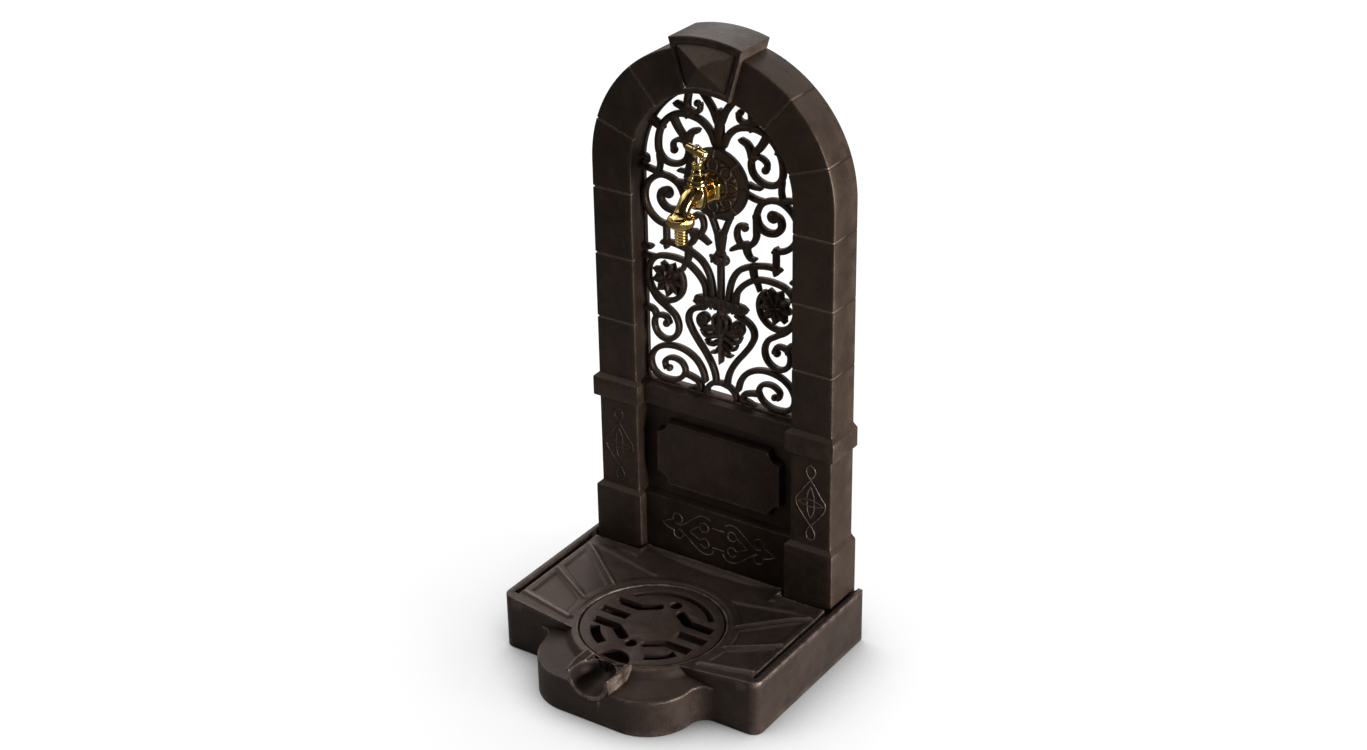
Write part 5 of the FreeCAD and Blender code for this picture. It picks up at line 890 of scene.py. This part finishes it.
def deck_height(x, q):
    """Top of the tray at x and distance q from the wall."""
    side = np.abs(x)
    r = np.hypot(x, q - GRATE)
    # the dish, with a low ring at the back of the collar
    height = DECK + 10 * np.clip((r - COLLAR) / 73, 0, 1)
    height = height + 0.9 * soft_step(103.5 - r, 1.6) * soft_step(r - 92.5, 1.5) * soft_step(200 - q, 40)
    for corners in DECK_PANELS:
        inside = soft_step(-polygon_distance(side, q, corners) - 1.5, 4.0)
        height = height - 2.0 * inside * soft_step(r - 107, 1.6)
    for first, last, wide, rise, _, _ in DECK_RIBS:
        t, out, length = rib_place(side, q, first, last)
        past = np.maximum(np.maximum(-t, t - length), 0)
        crest = np.clip(1 - np.hypot(out, past) / wide, 0, 1)
        height = height + rise * np.minimum(crest * 1.6, 1) ** 0.8
    # the gutter, and the rim that goes round the front corners
    gutter = soft_step(side - 171, 1.4) * soft_step(GUTTER_OUT - side, 1.4) * soft_step(232 - q, 3)
    rim = np.maximum(soft_step(side - GUTTER_OUT, 1.2), soft_step(q - 239, 1.4) * soft_step(side - 168, 6))
    height = height * (1 - rim) + RIM_TOP * rim - 6 * gutter * (1 - rim)
    # the lip at the back between the columns, and one in front of each column
    lip = soft_step(101 - side, 1.6) * soft_step(59.5 - q, 1.6)
    knob = soft_step(side - 95.5, 1.5) * soft_step(56 - q, 1.5)
    top = 72.4 - 0.42 * np.clip(q - 51.5, 0, 9) + 1.3 * knob
    height = height * (1 - lip) + np.maximum(top, height) * lip
    lip = soft_step(side - 98.5, 1.6) * soft_step(170.5 - side, 1.6) * soft_step(79.5 - q, 1.6)
    top = 73.2 - 0.14 * np.clip(q - 68, 0, 12) + 0.8 * soft_step(side - 164, 2)
    height = height * (1 - lip) + np.maximum(top, height - 0.3) * lip
    # the flat places behind the lips, for the lower panel and the columns
    inner, outer = soft_step(side - 103.5, 1.3), soft_step(GUTTER_OUT - side, 1.3)
    pocket = np.maximum(soft_step(50 - q, 1.3) * outer, soft_step(66.5 - q, 1.3) * inner * outer)
    return height * (1 - pocket) + DECK * pocket


def hollow(x, q, radius):
    """A round hollow that runs out to the front, DECK - sqrt(radius^2 - x^2 - b^2), with
    b = max(BOWL_DEPTH - q, 0)."""
    return DECK - np.sqrt(np.clip(radius ** 2 - x ** 2 - np.maximum(BOWL_DEPTH - q, 0) ** 2, 0, None))


def pit_height(x, q):
    """Floor of the hollow that the spout stands in, and 100 outside it."""
    floor = hollow(x, q, PIT)
    return np.where((floor < DECK) & (q > 283), floor, 100)


def step_height(x, q):
    """Top of the step and the collar's slope: max(51.5 - 3.5 (r - 106) / 29, 62 - 10.5 (r - 97) / 9)."""
    r = np.hypot(x, q - GRATE)
    top = np.clip(51.5 - 3.5 * (r - 106) / 29, 48, 51.5)
    height = np.maximum(top, np.minimum(DECK, DECK - 10.5 * (r - COLLAR) / 9))
    return np.minimum(height, pit_height(x, q))


print(len(DECK_RIBS), "ribs and", len(DECK_PANELS), "panels on each side")

# %% [markdown]
# The rows of the basin follow one another outwards, and each row is a radius and a height on every ray.
# %% Basin casting
def basin_casting():
    """Rows from the seat outwards, over the outside and back through the sump; columns round the grate."""
    angle = basin_angles(700)
    cos, sin = np.cos(angle), np.sin(angle)

    def at(radius):
        return radius * cos, GRATE - radius * sin

    tray = np.maximum(ray_radius(angle, tray_distance, 0.0, 40.0), COLLAR)
    outside = np.maximum(ray_radius(angle, basin_distance, 0.0, 60.0), tray)
    ring, deck = np.minimum(RING, tray), tray > COLLAR + 0.001
    rows = []
    for radius in (90.5, 90.9, 93, 96.2, 97, 99, 102.5, 103.5, 104.5, 106.2, 107, 107.8, RING):
        r = np.minimum(radius, tray)
        x, q = at(r)
        height = np.where(r < COLLAR, DECK, deck_height(x, q)) - (0.4 if radius < 90.6 else 0)
        height = np.where(deck, height, np.minimum(height, DECK))
        sill = soft_step(22 - np.abs(x), 1) * soft_step(q - 270, 4)
        rows.append((r, np.minimum(height - sill, pit_height(x, q))))

    # Rows over the deck keep their distance from the tray's edge, and crowd together where room is short
    room = np.maximum(-tray_distance(*at(ring)), 0) * (tray > RING)
    rim = 16.5
    outer_scale = np.minimum(1, room / 24)
    inner_scale = np.clip((room - rim * outer_scale - 3) / (80 - rim), 0, 1)
    offsets = [79, 76, 73, 70, 67.6, 66.4, 65.2, 63, 60.6, 59.4, 58.2, 56.5, 54.5, 52.5, 51, 50, 49]
    offsets += [*np.linspace(46, 19, 12), rim, 15.8, 15, 14.2, 11.5, 8.8, 8, 7.4, 4, 1.2, 0.5, 0]
    edges = []
    for offset in offsets:
        level = np.where(offset > rim, rim * outer_scale + (offset - rim) * inner_scale, offset * outer_scale)
        edges.append(np.clip(ray_radius(angle, tray_distance, -level, COLLAR), ring, tray))
    for share in np.arange(1, 27) / 27:
        r = ring * (1 - share) + edges[0] * share
        rows.append((r, deck_height(*at(r))))
    for offset, r in zip(offsets, edges):
        drop = {0.5: 0.15, 0: 0.7}.get(offset, 0) * (tray > COLLAR + 0.5)
        rows.append((r, np.where(deck, deck_height(*at(r)), DECK) - drop))

    # Down the tray's front, over the step and down the outside
    deck_end = rows[-1][1]
    low = np.where(deck, np.maximum(step_height(*at(tray)), 48), DECK)
    for share in (0.3, 0.7, 0.94, 1):
        rows.append((tray, np.minimum(deck_end * (1 - share) + low * share, pit_height(*at(tray)))))
    for radius in (100, 103, 105.5, 106.5):
        r = np.minimum(np.maximum(tray, radius), outside)
        rows.append((r, step_height(*at(r))))
    start = np.maximum(tray, 106)
    for share in np.linspace(0.06, 1, 20):
        r = np.minimum(start + (outside - start) * share, outside)
        lower = (0.8 if share == 1 else 0.2 if share > 0.94 else 0) * (outside > tray + 4)
        rows.append((r, step_height(*at(r)) - lower))
    for height in (45, 38, 25, 12, 0.9):
        rows.append((outside, np.minimum(rows[-1][1], height)))

    # Under the foot, up into the hollow behind the walls, and back through the sump to the seat
    foot, inset = (ray_radius(angle, basin_distance, level, 60.0) for level in (-0.8, -SHELL))
    inner = np.clip(ray_radius(angle, tray_distance, -SHELL, 40.0), COLLAR, inset)
    roof = np.where(inner > COLLAR + 0.5, 54.0, 30.0)
    step_roof = np.where(inset > inner + 2, 30.0, roof)
    rows += [(foot, 0), (inset, 0), (inset, step_roof), (inner, step_roof), (inner, roof), (COLLAR, roof),
             (COLLAR, np.minimum(roof, 46)), (85, np.minimum(roof, 46)), (85, 8.5), (84, 8), (16, 8), (16, 13),
             (79.5, 13), (80, 13.5), (80, 34), (80, 54.6), (80.4, 55), (90, 55), (90.5, 55.5)]
    radius, height = (np.array([row[k] + 0 * angle for row in rows]) for k in (0, 1))
    return spot(*at(radius), height), quads(*radius.shape, wrap=True, close=True)


def merged(points, faces):
    """The shell with points closer than 0.02 mm joined. Four-sided faces that lost one side become triangles,
    and those that lost more are left out."""
    key = np.round(points / (0.02 * MM)).astype(np.int64)
    _, first, inverse = np.unique(key, axis=0, return_index=True, return_inverse=True)
    faces = inverse.reshape(-1)[faces]
    same = faces == np.roll(faces, -1, 1)
    once = same.sum(1) == 1
    keep = np.arange(4) != same[once].argmax(1)[:, None]
    sets = [faces[once][keep].reshape(-1, 3), faces[~same.any(1)]]
    return points[first], [group for group in sets if len(group)]


def deck_highlight_lines(points):
    """Painted highlights on the deck, speckled like rubbed paint: the back edges of the lips, the ribs and the
    front edge.
    """
    x, q, z = np.abs(points[:, 0]) / MM, WALL - points[:, 1] / MM, points[:, 2] / MM
    line = 0.75 * np.exp(-((q - 51.6) / 1.1) ** 2) * (x < 100.5)
    line = np.maximum(line, 0.6 * np.exp(-((q - 68.2) / 1.1) ** 2) * (x > 99) * (x < 170))
    for first, last, _, _, wide, strength in DECK_RIBS:
        t, out, length = rib_place(x, q, first, last)
        line = np.maximum(line, strength * np.exp(-(out / wide) ** 2) * (t > -2) * (t < length + 1))
    line = np.maximum(line, 0.4 * np.exp(-((q - 246.4) / 0.9) ** 2) * (x > 80) * (x < 172) * (z > 64))
    return line * (z > 61.5)


# The basin's line attribute carries the deck's painted highlights.
basin_points, basin_faces = merged(*basin_casting())
piece("basin_casting", [(basin_points, basin_faces)], cast_deck, replaces=("basin_tray",), sharp=0,
      line=deck_highlight_lines(basin_points))

# %% [markdown]
# The pouring spout is a finer piece set into the step: a bowl between two pointed cheeks.
# %% Spout
def spout_half(q):
    """Half width of the spout, narrower to the front."""
    return 33 - 4 * np.clip((q - 302) / 25, 0, 1)


def spout_height(x, q):
    """Top of the spout: the bowl between cheeks that rise outwards from 63.2 to 66.8, and a sill at 61."""
    side = np.abs(x)
    cheek = 63.2 + 3.6 * np.clip((side - 24.5) / (spout_half(q) - 26), 0, 1)
    open_back = soft_step(22.5 - side, 2) * soft_step(300 - q, 8)
    cheek = cheek * (1 - open_back) + 61 * open_back
    inside = soft_step(BOWL - np.hypot(x, np.maximum(BOWL_DEPTH - q, 0)), 1.4)
    return cheek * (1 - inside) + np.minimum(hollow(x, q, BOWL), cheek) * inside


def spout():
    """A grid over the width and the depth that narrows to the front. Its underside follows a circle where it
    stands out of the step, and ends inside the step elsewhere."""
    share = np.unique(np.concatenate([np.linspace(-1, 1, 97), [-0.992, 0.992]]))
    depths = np.unique(np.concatenate([np.linspace(281.2, STEP[1], 58), [324.4, 325.6, 326.2, 326.7, 327]]))
    s, q = np.meshgrid(share, depths)
    x = s * spout_half(q)
    height = spout_height(x, q) - 0.7 * soft_step(np.abs(s) - 0.985, 0.02)
    height = height - 0.9 * np.clip((q - 326) / 1, 0, 1) ** 2
    low = np.minimum(np.where(q > 324.6, hollow(x, q, SPOUT_UNDER), 33), height - 1)
    top, edge = quads(*x.shape), border(*x.shape)
    after = np.roll(edge, -1)
    skirt = np.stack([edge + x.size, after + x.size, after, edge], -1)
    return np.vstack([spot(x, q, height), spot(x, q, low)]), [np.vstack([top, top[:, ::-1] + x.size, skirt])]


piece("spout_casting", [spout()], cast_deck)

# %% [markdown]
# The grate, the spindle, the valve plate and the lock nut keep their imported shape, with small bevels on the
# edges. The grate's slots are a little wider too.
# %% Bevelled copies
def widen(mesh, amount):
    """Move the upright walls of a round grate's slots back by amount: each point by -amount times the sum of
    the different wall normals that meet there. The rim stays."""
    for vertex in list(mesh.verts):
        if math.hypot(vertex.co.x, (WALL - GRATE) * MM - vertex.co.y) > 86.5 * MM:
            continue
        ways = []
        for face in vertex.link_faces:
            if abs(face.normal.z) < 0.3 and all(face.normal.dot(way) < 0.9 for way in ways):
                ways.append(face.normal.copy())
        if ways:
            total = sum(ways, Vector())
            vertex.co -= amount * total * (len(ways) / max(total.length_squared, 0.5))


def bevelled(name, material, body, width, wider=0.0):
    """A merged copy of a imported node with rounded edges."""
    source = frame["nodes"][name]
    made = source.copy()
    made.data = source.data.copy()
    made.name = made.data.name = name + "_smooth"
    bpy.context.scene.collection.objects.link(made)
    mesh = bmesh.new()
    mesh.from_mesh(made.data)
    mesh.transform(source.matrix_world)
    bmesh.ops.remove_doubles(mesh, verts=mesh.verts, dist=0.001 * MM)
    bmesh.ops.dissolve_limit(mesh, angle_limit=math.radians(1.5), verts=mesh.verts, edges=mesh.edges)
    if wider:
        widen(mesh, wider * MM)
    for face in mesh.faces:
        face.smooth = True
    mesh.to_mesh(made.data)
    mesh.free()
    made.parent = None
    made.matrix_world = Matrix.Identity(4)
    made.data.materials.clear()
    made.data.materials.append(material)
    bevel = made.modifiers.new("bevel", "BEVEL")
    bevel.width, bevel.segments, bevel.limit_method = width * MM, 2, "ANGLE"
    bevel.angle_limit = math.radians(30)
    bevel.harden_normals = True
    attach(made, body)
    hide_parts(name)
    print(made.name, len(made.data.polygons), "faces")


bevelled("drain_grate", iron, "grate", 0.7, wider=0.8)
BRASS_COPIES = [("lock_nut", "fountain", 0.6), ("spindle", "handle", 0.2), ("jumper_valve", "valve", 0.2)]
for name, body, width in BRASS_COPIES:
    bevelled(name, brass, body, width)

# %% [markdown]
# The tap's visible brass parts are turned pieces with rounded shoulders, hexagons with rounded corners, a
# knurled union nut, a ribbed tail, and a bent spout that narrows and flares again.
# %% Turned pieces
SIDES = 72
# An axis is its origin, two directions across it and its own direction
UP, TO_FRONT = ((1, 0, 0), (0, 1, 0), (0, 0, 1)), ((1, 0, 0), (0, 0, 1), (0, 1, 0))
TAP, OUTLET = ((0, TAP_AXIS, 0), *UP), ((0, OUTLET_AXIS, 0), *UP)
INLET = ((0, 0, TAP_HEIGHT), *TO_FRONT)


def turned(axis, profile, sides=SIDES, flats=None, knurl=0.0):
    """A closed profile of (radius, level) turned about an axis.

    flats keeps each row inside a hexagon of half width flats * radius: r = min(r, f / cos(a')), with a' the
    angle from the nearest flat. knurl cuts the rows by knurl * (1 - cos 48 a) / 2."""
    origin, u, v, way = np.array(axis, float)
    radius, level = np.array(profile).T[:, :, None]
    angle = circle(sides)
    r = radius + 0 * angle
    if flats:
        from_flat = (angle + np.pi / 6) % (np.pi / 3) - np.pi / 6
        r = np.minimum(r, radius * np.array(flats)[:, None] / np.cos(from_flat))
    r = r - knurl * (radius > radius.max() - 0.1) * (1 - np.cos(48 * angle)) / 2
    across = np.cos(angle)[:, None] * u + np.sin(angle)[:, None] * v
    points = origin + way * level[..., None] + r[..., None] * across
    return merged(spot(*points.reshape(-1, 3).T), quads(*r.shape, wrap=True, close=True))


def sweep(path, inner):
    """A hollow tube in the middle plane. Rows of path are (depth, height, half width, half thickness). Its bore
    narrows to the radius inner over the first third, from 0.8 less than the outside."""
    along = np.gradient(path[:, :2], axis=0)
    along /= np.linalg.norm(along, axis=1)[:, None]
    wide = np.clip(1 - 3 * np.arange(len(path)) / (len(path) - 1), 0, 1)[:, None]
    bore = np.hstack([path[:, :2], inner + (path[:, 2:] - 0.8 - inner) * wide, along])
    rows = np.vstack([np.hstack([path, along]), bore[::-1]])
    depth, height, half, thick, forward, up = rows.T[:, :, None]
    angle = circle(40)
    x, rise = half * np.cos(angle), np.sin(angle)
    points = spot(x, depth - up * thick * rise, height + forward * thick * rise)
    return points, [quads(*x.shape, wrap=True, close=True)]


def round_chamber(mesh, radius=10.1):
    """The mesh with each point that is nearer to the tap's axis than radius moved along the depth out to it, so
    that depth = TAP_AXIS + or - sqrt(radius^2 - x^2) there."""
    points, faces = mesh
    x, off = points[:, 0] / MM, WALL - TAP_AXIS - points[:, 1] / MM
    reach = np.sqrt(np.clip(radius ** 2 - x ** 2, 0, None))
    points[:, 1] -= np.where(np.abs(off) < reach, np.sign(off) * reach - off, 0) * MM
    return points, faces


def brass_piece(name, shells, node_name, sharp=42, body="fountain"):
    """A brass piece that stands for a node of the tap."""
    piece(name, shells, brass, body=body, replaces=(node_name,), sharp=sharp)


print("an outline is turned in", SIDES, "steps")

# %% [markdown]
# Each outline is a closed row of (radius, level) points. The levels are heights, or distances from the wall for
# the collar and the neck.
# %% Tap pieces
chamber = [(0, 568.6), (4.5, 568.8), (7.6, 570), (9.8, 572.4), (11, 575.8), (11.6, 580), (11.7, 584), (11.6, 588),
           (11.0, 592), (10.3, 595), (10.1, 596.6), (10.9, 597.6), (12.2, 598.4), (12.6, 599.2), (12.6, 602.2),
           (12.1, 603), (9, 603), (9, 589), (8, 589), (8, 573.5), (0, 573.5)]
neck = [(9.0, 52.2), (9.0, 60), (9.2, 61.5), (8.6, 64), (8.8, 67), (10, 70), (4.5, 70), (4.5, 52.2)]
spout_path, _ = smooth_path([(80, 589.5, 10.6, 12.4), (86, 590.4, 10.2, 11.2), (93, 589.2, 9.5, 10),
                             (100, 585.6, 8.9, 9.1), (106, 580.4, 8.5, 8.6), (110, 575.6, 8.8, 8.8),
                             (111.6, 573.4, 9.4, 9.4)], 1.2)
flare = [(7.6, 576.4), (9.2, 574.6), (11.4, 573.2), (13.2, 572.5), (13.5, 571.9), (13.2, 571.2), (13.2, 564.8),
         (12.9, 564.5), (5.5, 564.5), (5.5, 576.4)]
brass_piece("tap_body_brass", [turned(TAP, chamber), round_chamber(turned(INLET, neck)),
                               round_chamber(sweep(spout_path, 5.5)), turned(OUTLET, flare)], "tap_body", 45)

collar = [(6.5, 4), (10.48, 4), (10.48, 12), (9.7, 12), (9.7, 14), (10.48, 14.8), (10.48, 47), (16.5, 47),
          (18.2, 47.3), (20.2, 48.4), (20.2, 54), (19.7, 56.2), (18.6, 58.1), (16.8, 59.4), (14.4, 60),
          (12.5, 60.1), (9.1, 60), (9.1, 52), (6.5, 52)]
collar_flats = [1] * 7 + [0.88] * 7 + [0.96, 0.98] + [1] * 3
brass_piece("inlet_collar_brass", [turned(INLET, collar, flats=collar_flats)], "inlet_collar")

bonnet = [(4.9, 600), (8.9, 600), (8.9, 604), (10.9, 604), (11.4, 604.5), (11.4, 606.2), (10.8, 607.2),
          (9.6, 608.2), (8.6, 609.6), (8.1, 611), (6, 611), (6, 617), (4.7, 617), (4.7, 613), (3.1, 613),
          (3.1, 611), (4.9, 611)]
bonnet_flats = [1] * 3 + [0.93] * 3 + [0.95, 0.97] + [1] * 9
brass_piece("bonnet_brass", [turned(TAP, bonnet, flats=bonnet_flats)], "bonnet")

gland = [(6.1, 611), (7.3, 611), (7.8, 611.5), (7.8, 615.3), (7.3, 616.3), (6.5, 617), (6.3, 618), (6.3, 622.6),
         (6.9, 623.4), (7.1, 624.2), (6.9, 625.4), (6.2, 626), (3.1, 626), (3.1, 617.2), (6.1, 617.2)]
gland_flats = [1] + [0.9] * 4 + [0.95, 0.92, 0.92] + [1] * 7
brass_piece("gland_nut_brass", [turned(TAP, gland, flats=gland_flats)], "gland_nut")

BAR_TURN = math.radians(22)
bar_sin, bar_cos = math.sin(BAR_TURN), math.cos(BAR_TURN)
bar_axis = (0, TAP_AXIS, 639), (-bar_sin, bar_cos, 0), (0, 0, 1), (bar_cos, bar_sin, 0)
tee = [(0, -19), (3.9, -18.9), (4.7, -18.4), (5.15, -17.4), (5.2, -16), (5.1, -8), (5.1, 0)]
tee += [(radius, -level) for radius, level in tee[-2::-1]]
hub = [(3.1, 632.8), (4.3, 632.8), (4.9, 633.4), (5.5, 635.5), (6, 638), (6, 642.5), (5.4, 644.5), (4.6, 645.2),
       (1.5, 645.2), (1.5, 640.8), (3.1, 640.8)]
brass_piece("tee_handle_brass", [turned(bar_axis, tee, 48), turned(TAP, hub, 48)], "tee_handle", 45, "handle")

union = [(7.8, 558.9), (12.2, 558.9), (13, 559.5), (13.3, 561), (15.4, 561.5), (15.8, 562.2), (15.8, 565.5),
         (15.8, 569.3), (15.3, 570.1), (14.4, 570.4), (13.4, 570.4), (13.4, 560.7), (7.8, 560.7)]
brass_piece("union_nut_brass", [turned(OUTLET, union, 288, knurl=0.45)], "hose_union_nut", 45, "union_nut")

tail = [(5, 536.9), (6.7, 536.9)]
for foot in 537.2 + 3.5 * np.arange(6):
    tail += [(7.0, foot), (7.9, foot + 1.9), (8.0, foot + 2.5), (7.0, foot + 2.8)]
tail += [(7.0, 558.6), (7.6, 559.4), (7.6, 560.7), (12.4, 560.7), (12.4, 562.7), (5, 562.7)]
brass_piece("hose_tail_brass", [turned(OUTLET, tail, 56)], "hose_tail", 45, "hose_tail")

# %% [markdown]
# Studio: a pale floor, a soft low light from the right, and two weak ones from the left. The sky is
# bright at the back on the left, and only the camera sees it as white. Reflections see it in soft bands.
# %% Floor, sky, lights and camera
def light(name, place, aim, size, power):
    """A soft square lamp at a place in metres that points at aim."""
    lamp = bpy.data.lights.new(name, "AREA")
    lamp.size, lamp.energy = size, power
    obj = bpy.data.objects.new(name, lamp)
    obj.location = place
    obj.rotation_euler = (Vector(aim) - Vector(place)).to_track_quat("-Z", "Y").to_euler()
    bpy.context.scene.collection.objects.link(obj)


def floor_material():
    """Pale matt floor near the fountain, with a soft contact shadow, partly real and partly painted: near the
    fountain the camera sees a glow that ambient occlusion dims. Far from it the camera sees plain white, and
    other rays see a dimmer floor."""
    material, tree, shader = new_material("pale_floor")
    place = tree.nodes.new("ShaderNodeTexCoord").outputs["Object"]
    camera = tree.nodes.new("ShaderNodeLightPath").outputs["Is Camera Ray"]
    distance = node(tree, "ShaderNodeVectorMath", place, operation="LENGTH").outputs["Value"]
    pale = blend_colour(noise(place, 3), (FLOOR,) * 3, (FLOOR * 1.01,) * 3)
    bounce = blend_colour(ramp(distance, 0.3, 0.9), (0.5,) * 3, (0.15,) * 3)
    fill(shader, Roughness=1, Specular_IOR_Level=0, Base_Color=blend_colour(camera, bounce, pale))
    # Painted contact shadow: the glow that the camera sees is dimmed where ambient occlusion is strong.
    shade = node(tree, "ShaderNodeAmbientOcclusion", samples=8, Distance=0.13).outputs["AO"]
    strength = maths("MAXIMUM", ramp(shade, 0.3, 0.9, 0, 1.08), ramp(distance, 0.4, 0.6))
    glow = node(tree, "ShaderNodeEmission", Strength=strength)
    shown = times(ramp(distance, 0.25, 0.55, 0.75, 1), camera)
    mix = node(tree, "ShaderNodeMixShader", shown, shader.outputs[0], glow.outputs[0])
    fill(tree.nodes["Material Output"], Surface=mix.outputs[0])
    return material


FLOOR = 0.97
bpy.ops.mesh.primitive_plane_add(size=60)
floor = bpy.context.object
floor.name = "floor"
floor.data.materials.append(floor_material())

world = bpy.data.worlds.new("studio")
bpy.context.scene.world = world
world.use_nodes = True
tree = world.node_tree
rays = tree.nodes.new("ShaderNodeLightPath").outputs
place = tree.nodes.new("ShaderNodeTexCoord").outputs["Generated"]
bright, stripes = (node(tree, "ShaderNodeVectorMath", place, way, operation="DOT_PRODUCT").outputs["Value"]
                   for way in ((-0.55, 0.68, 0.49), (9, 6, 2)))
sky = blend_colour(ramp(bright, 0.4, 0.97), (0.02,) * 3, (1.4, 1.4, 1.42))
band = ramp(maths("SINE", stripes), -0.35, 0.35, -0.75, 0.6)
fill(tree.nodes["Background"], Strength=plus(times(band, rays["Is Glossy Ray"]), 1),
     Color=blend_colour(rays["Is Camera Ray"], sky, (1, 1, 1)))

AIM = (0, 0, 0.35)
light("key_right", (2.5, 0.05, 0.4), AIM, 1.3, 112)
light("top_left", (-0.9, -0.1, 2.2), AIM, 1.3, 3)
light("left_front", (-1.9, -1.7, 1.9), (0, 0, 0.3), 0.9, 8)

camera_data = bpy.data.cameras.new("camera")
camera_data.lens = 61.253
camera_data.sensor_width = 36
camera = bpy.data.objects.new("camera", camera_data)
eye, target = Vector((1.3723, -1.9794, 1.6118)), Vector((-0.076, 0.1635, 0.2998))
turn = (target - eye).to_track_quat("-Z", "Y").to_matrix() @ Matrix.Rotation(math.radians(-1.014), 3, "Z")
camera.matrix_world = Matrix.Translation(eye) @ turn.to_4x4()
bpy.context.scene.collection.objects.link(camera)
bpy.context.scene.camera = camera
bpy.context.scene.view_settings.view_transform = "Standard"
print("camera, lights and floor ready")
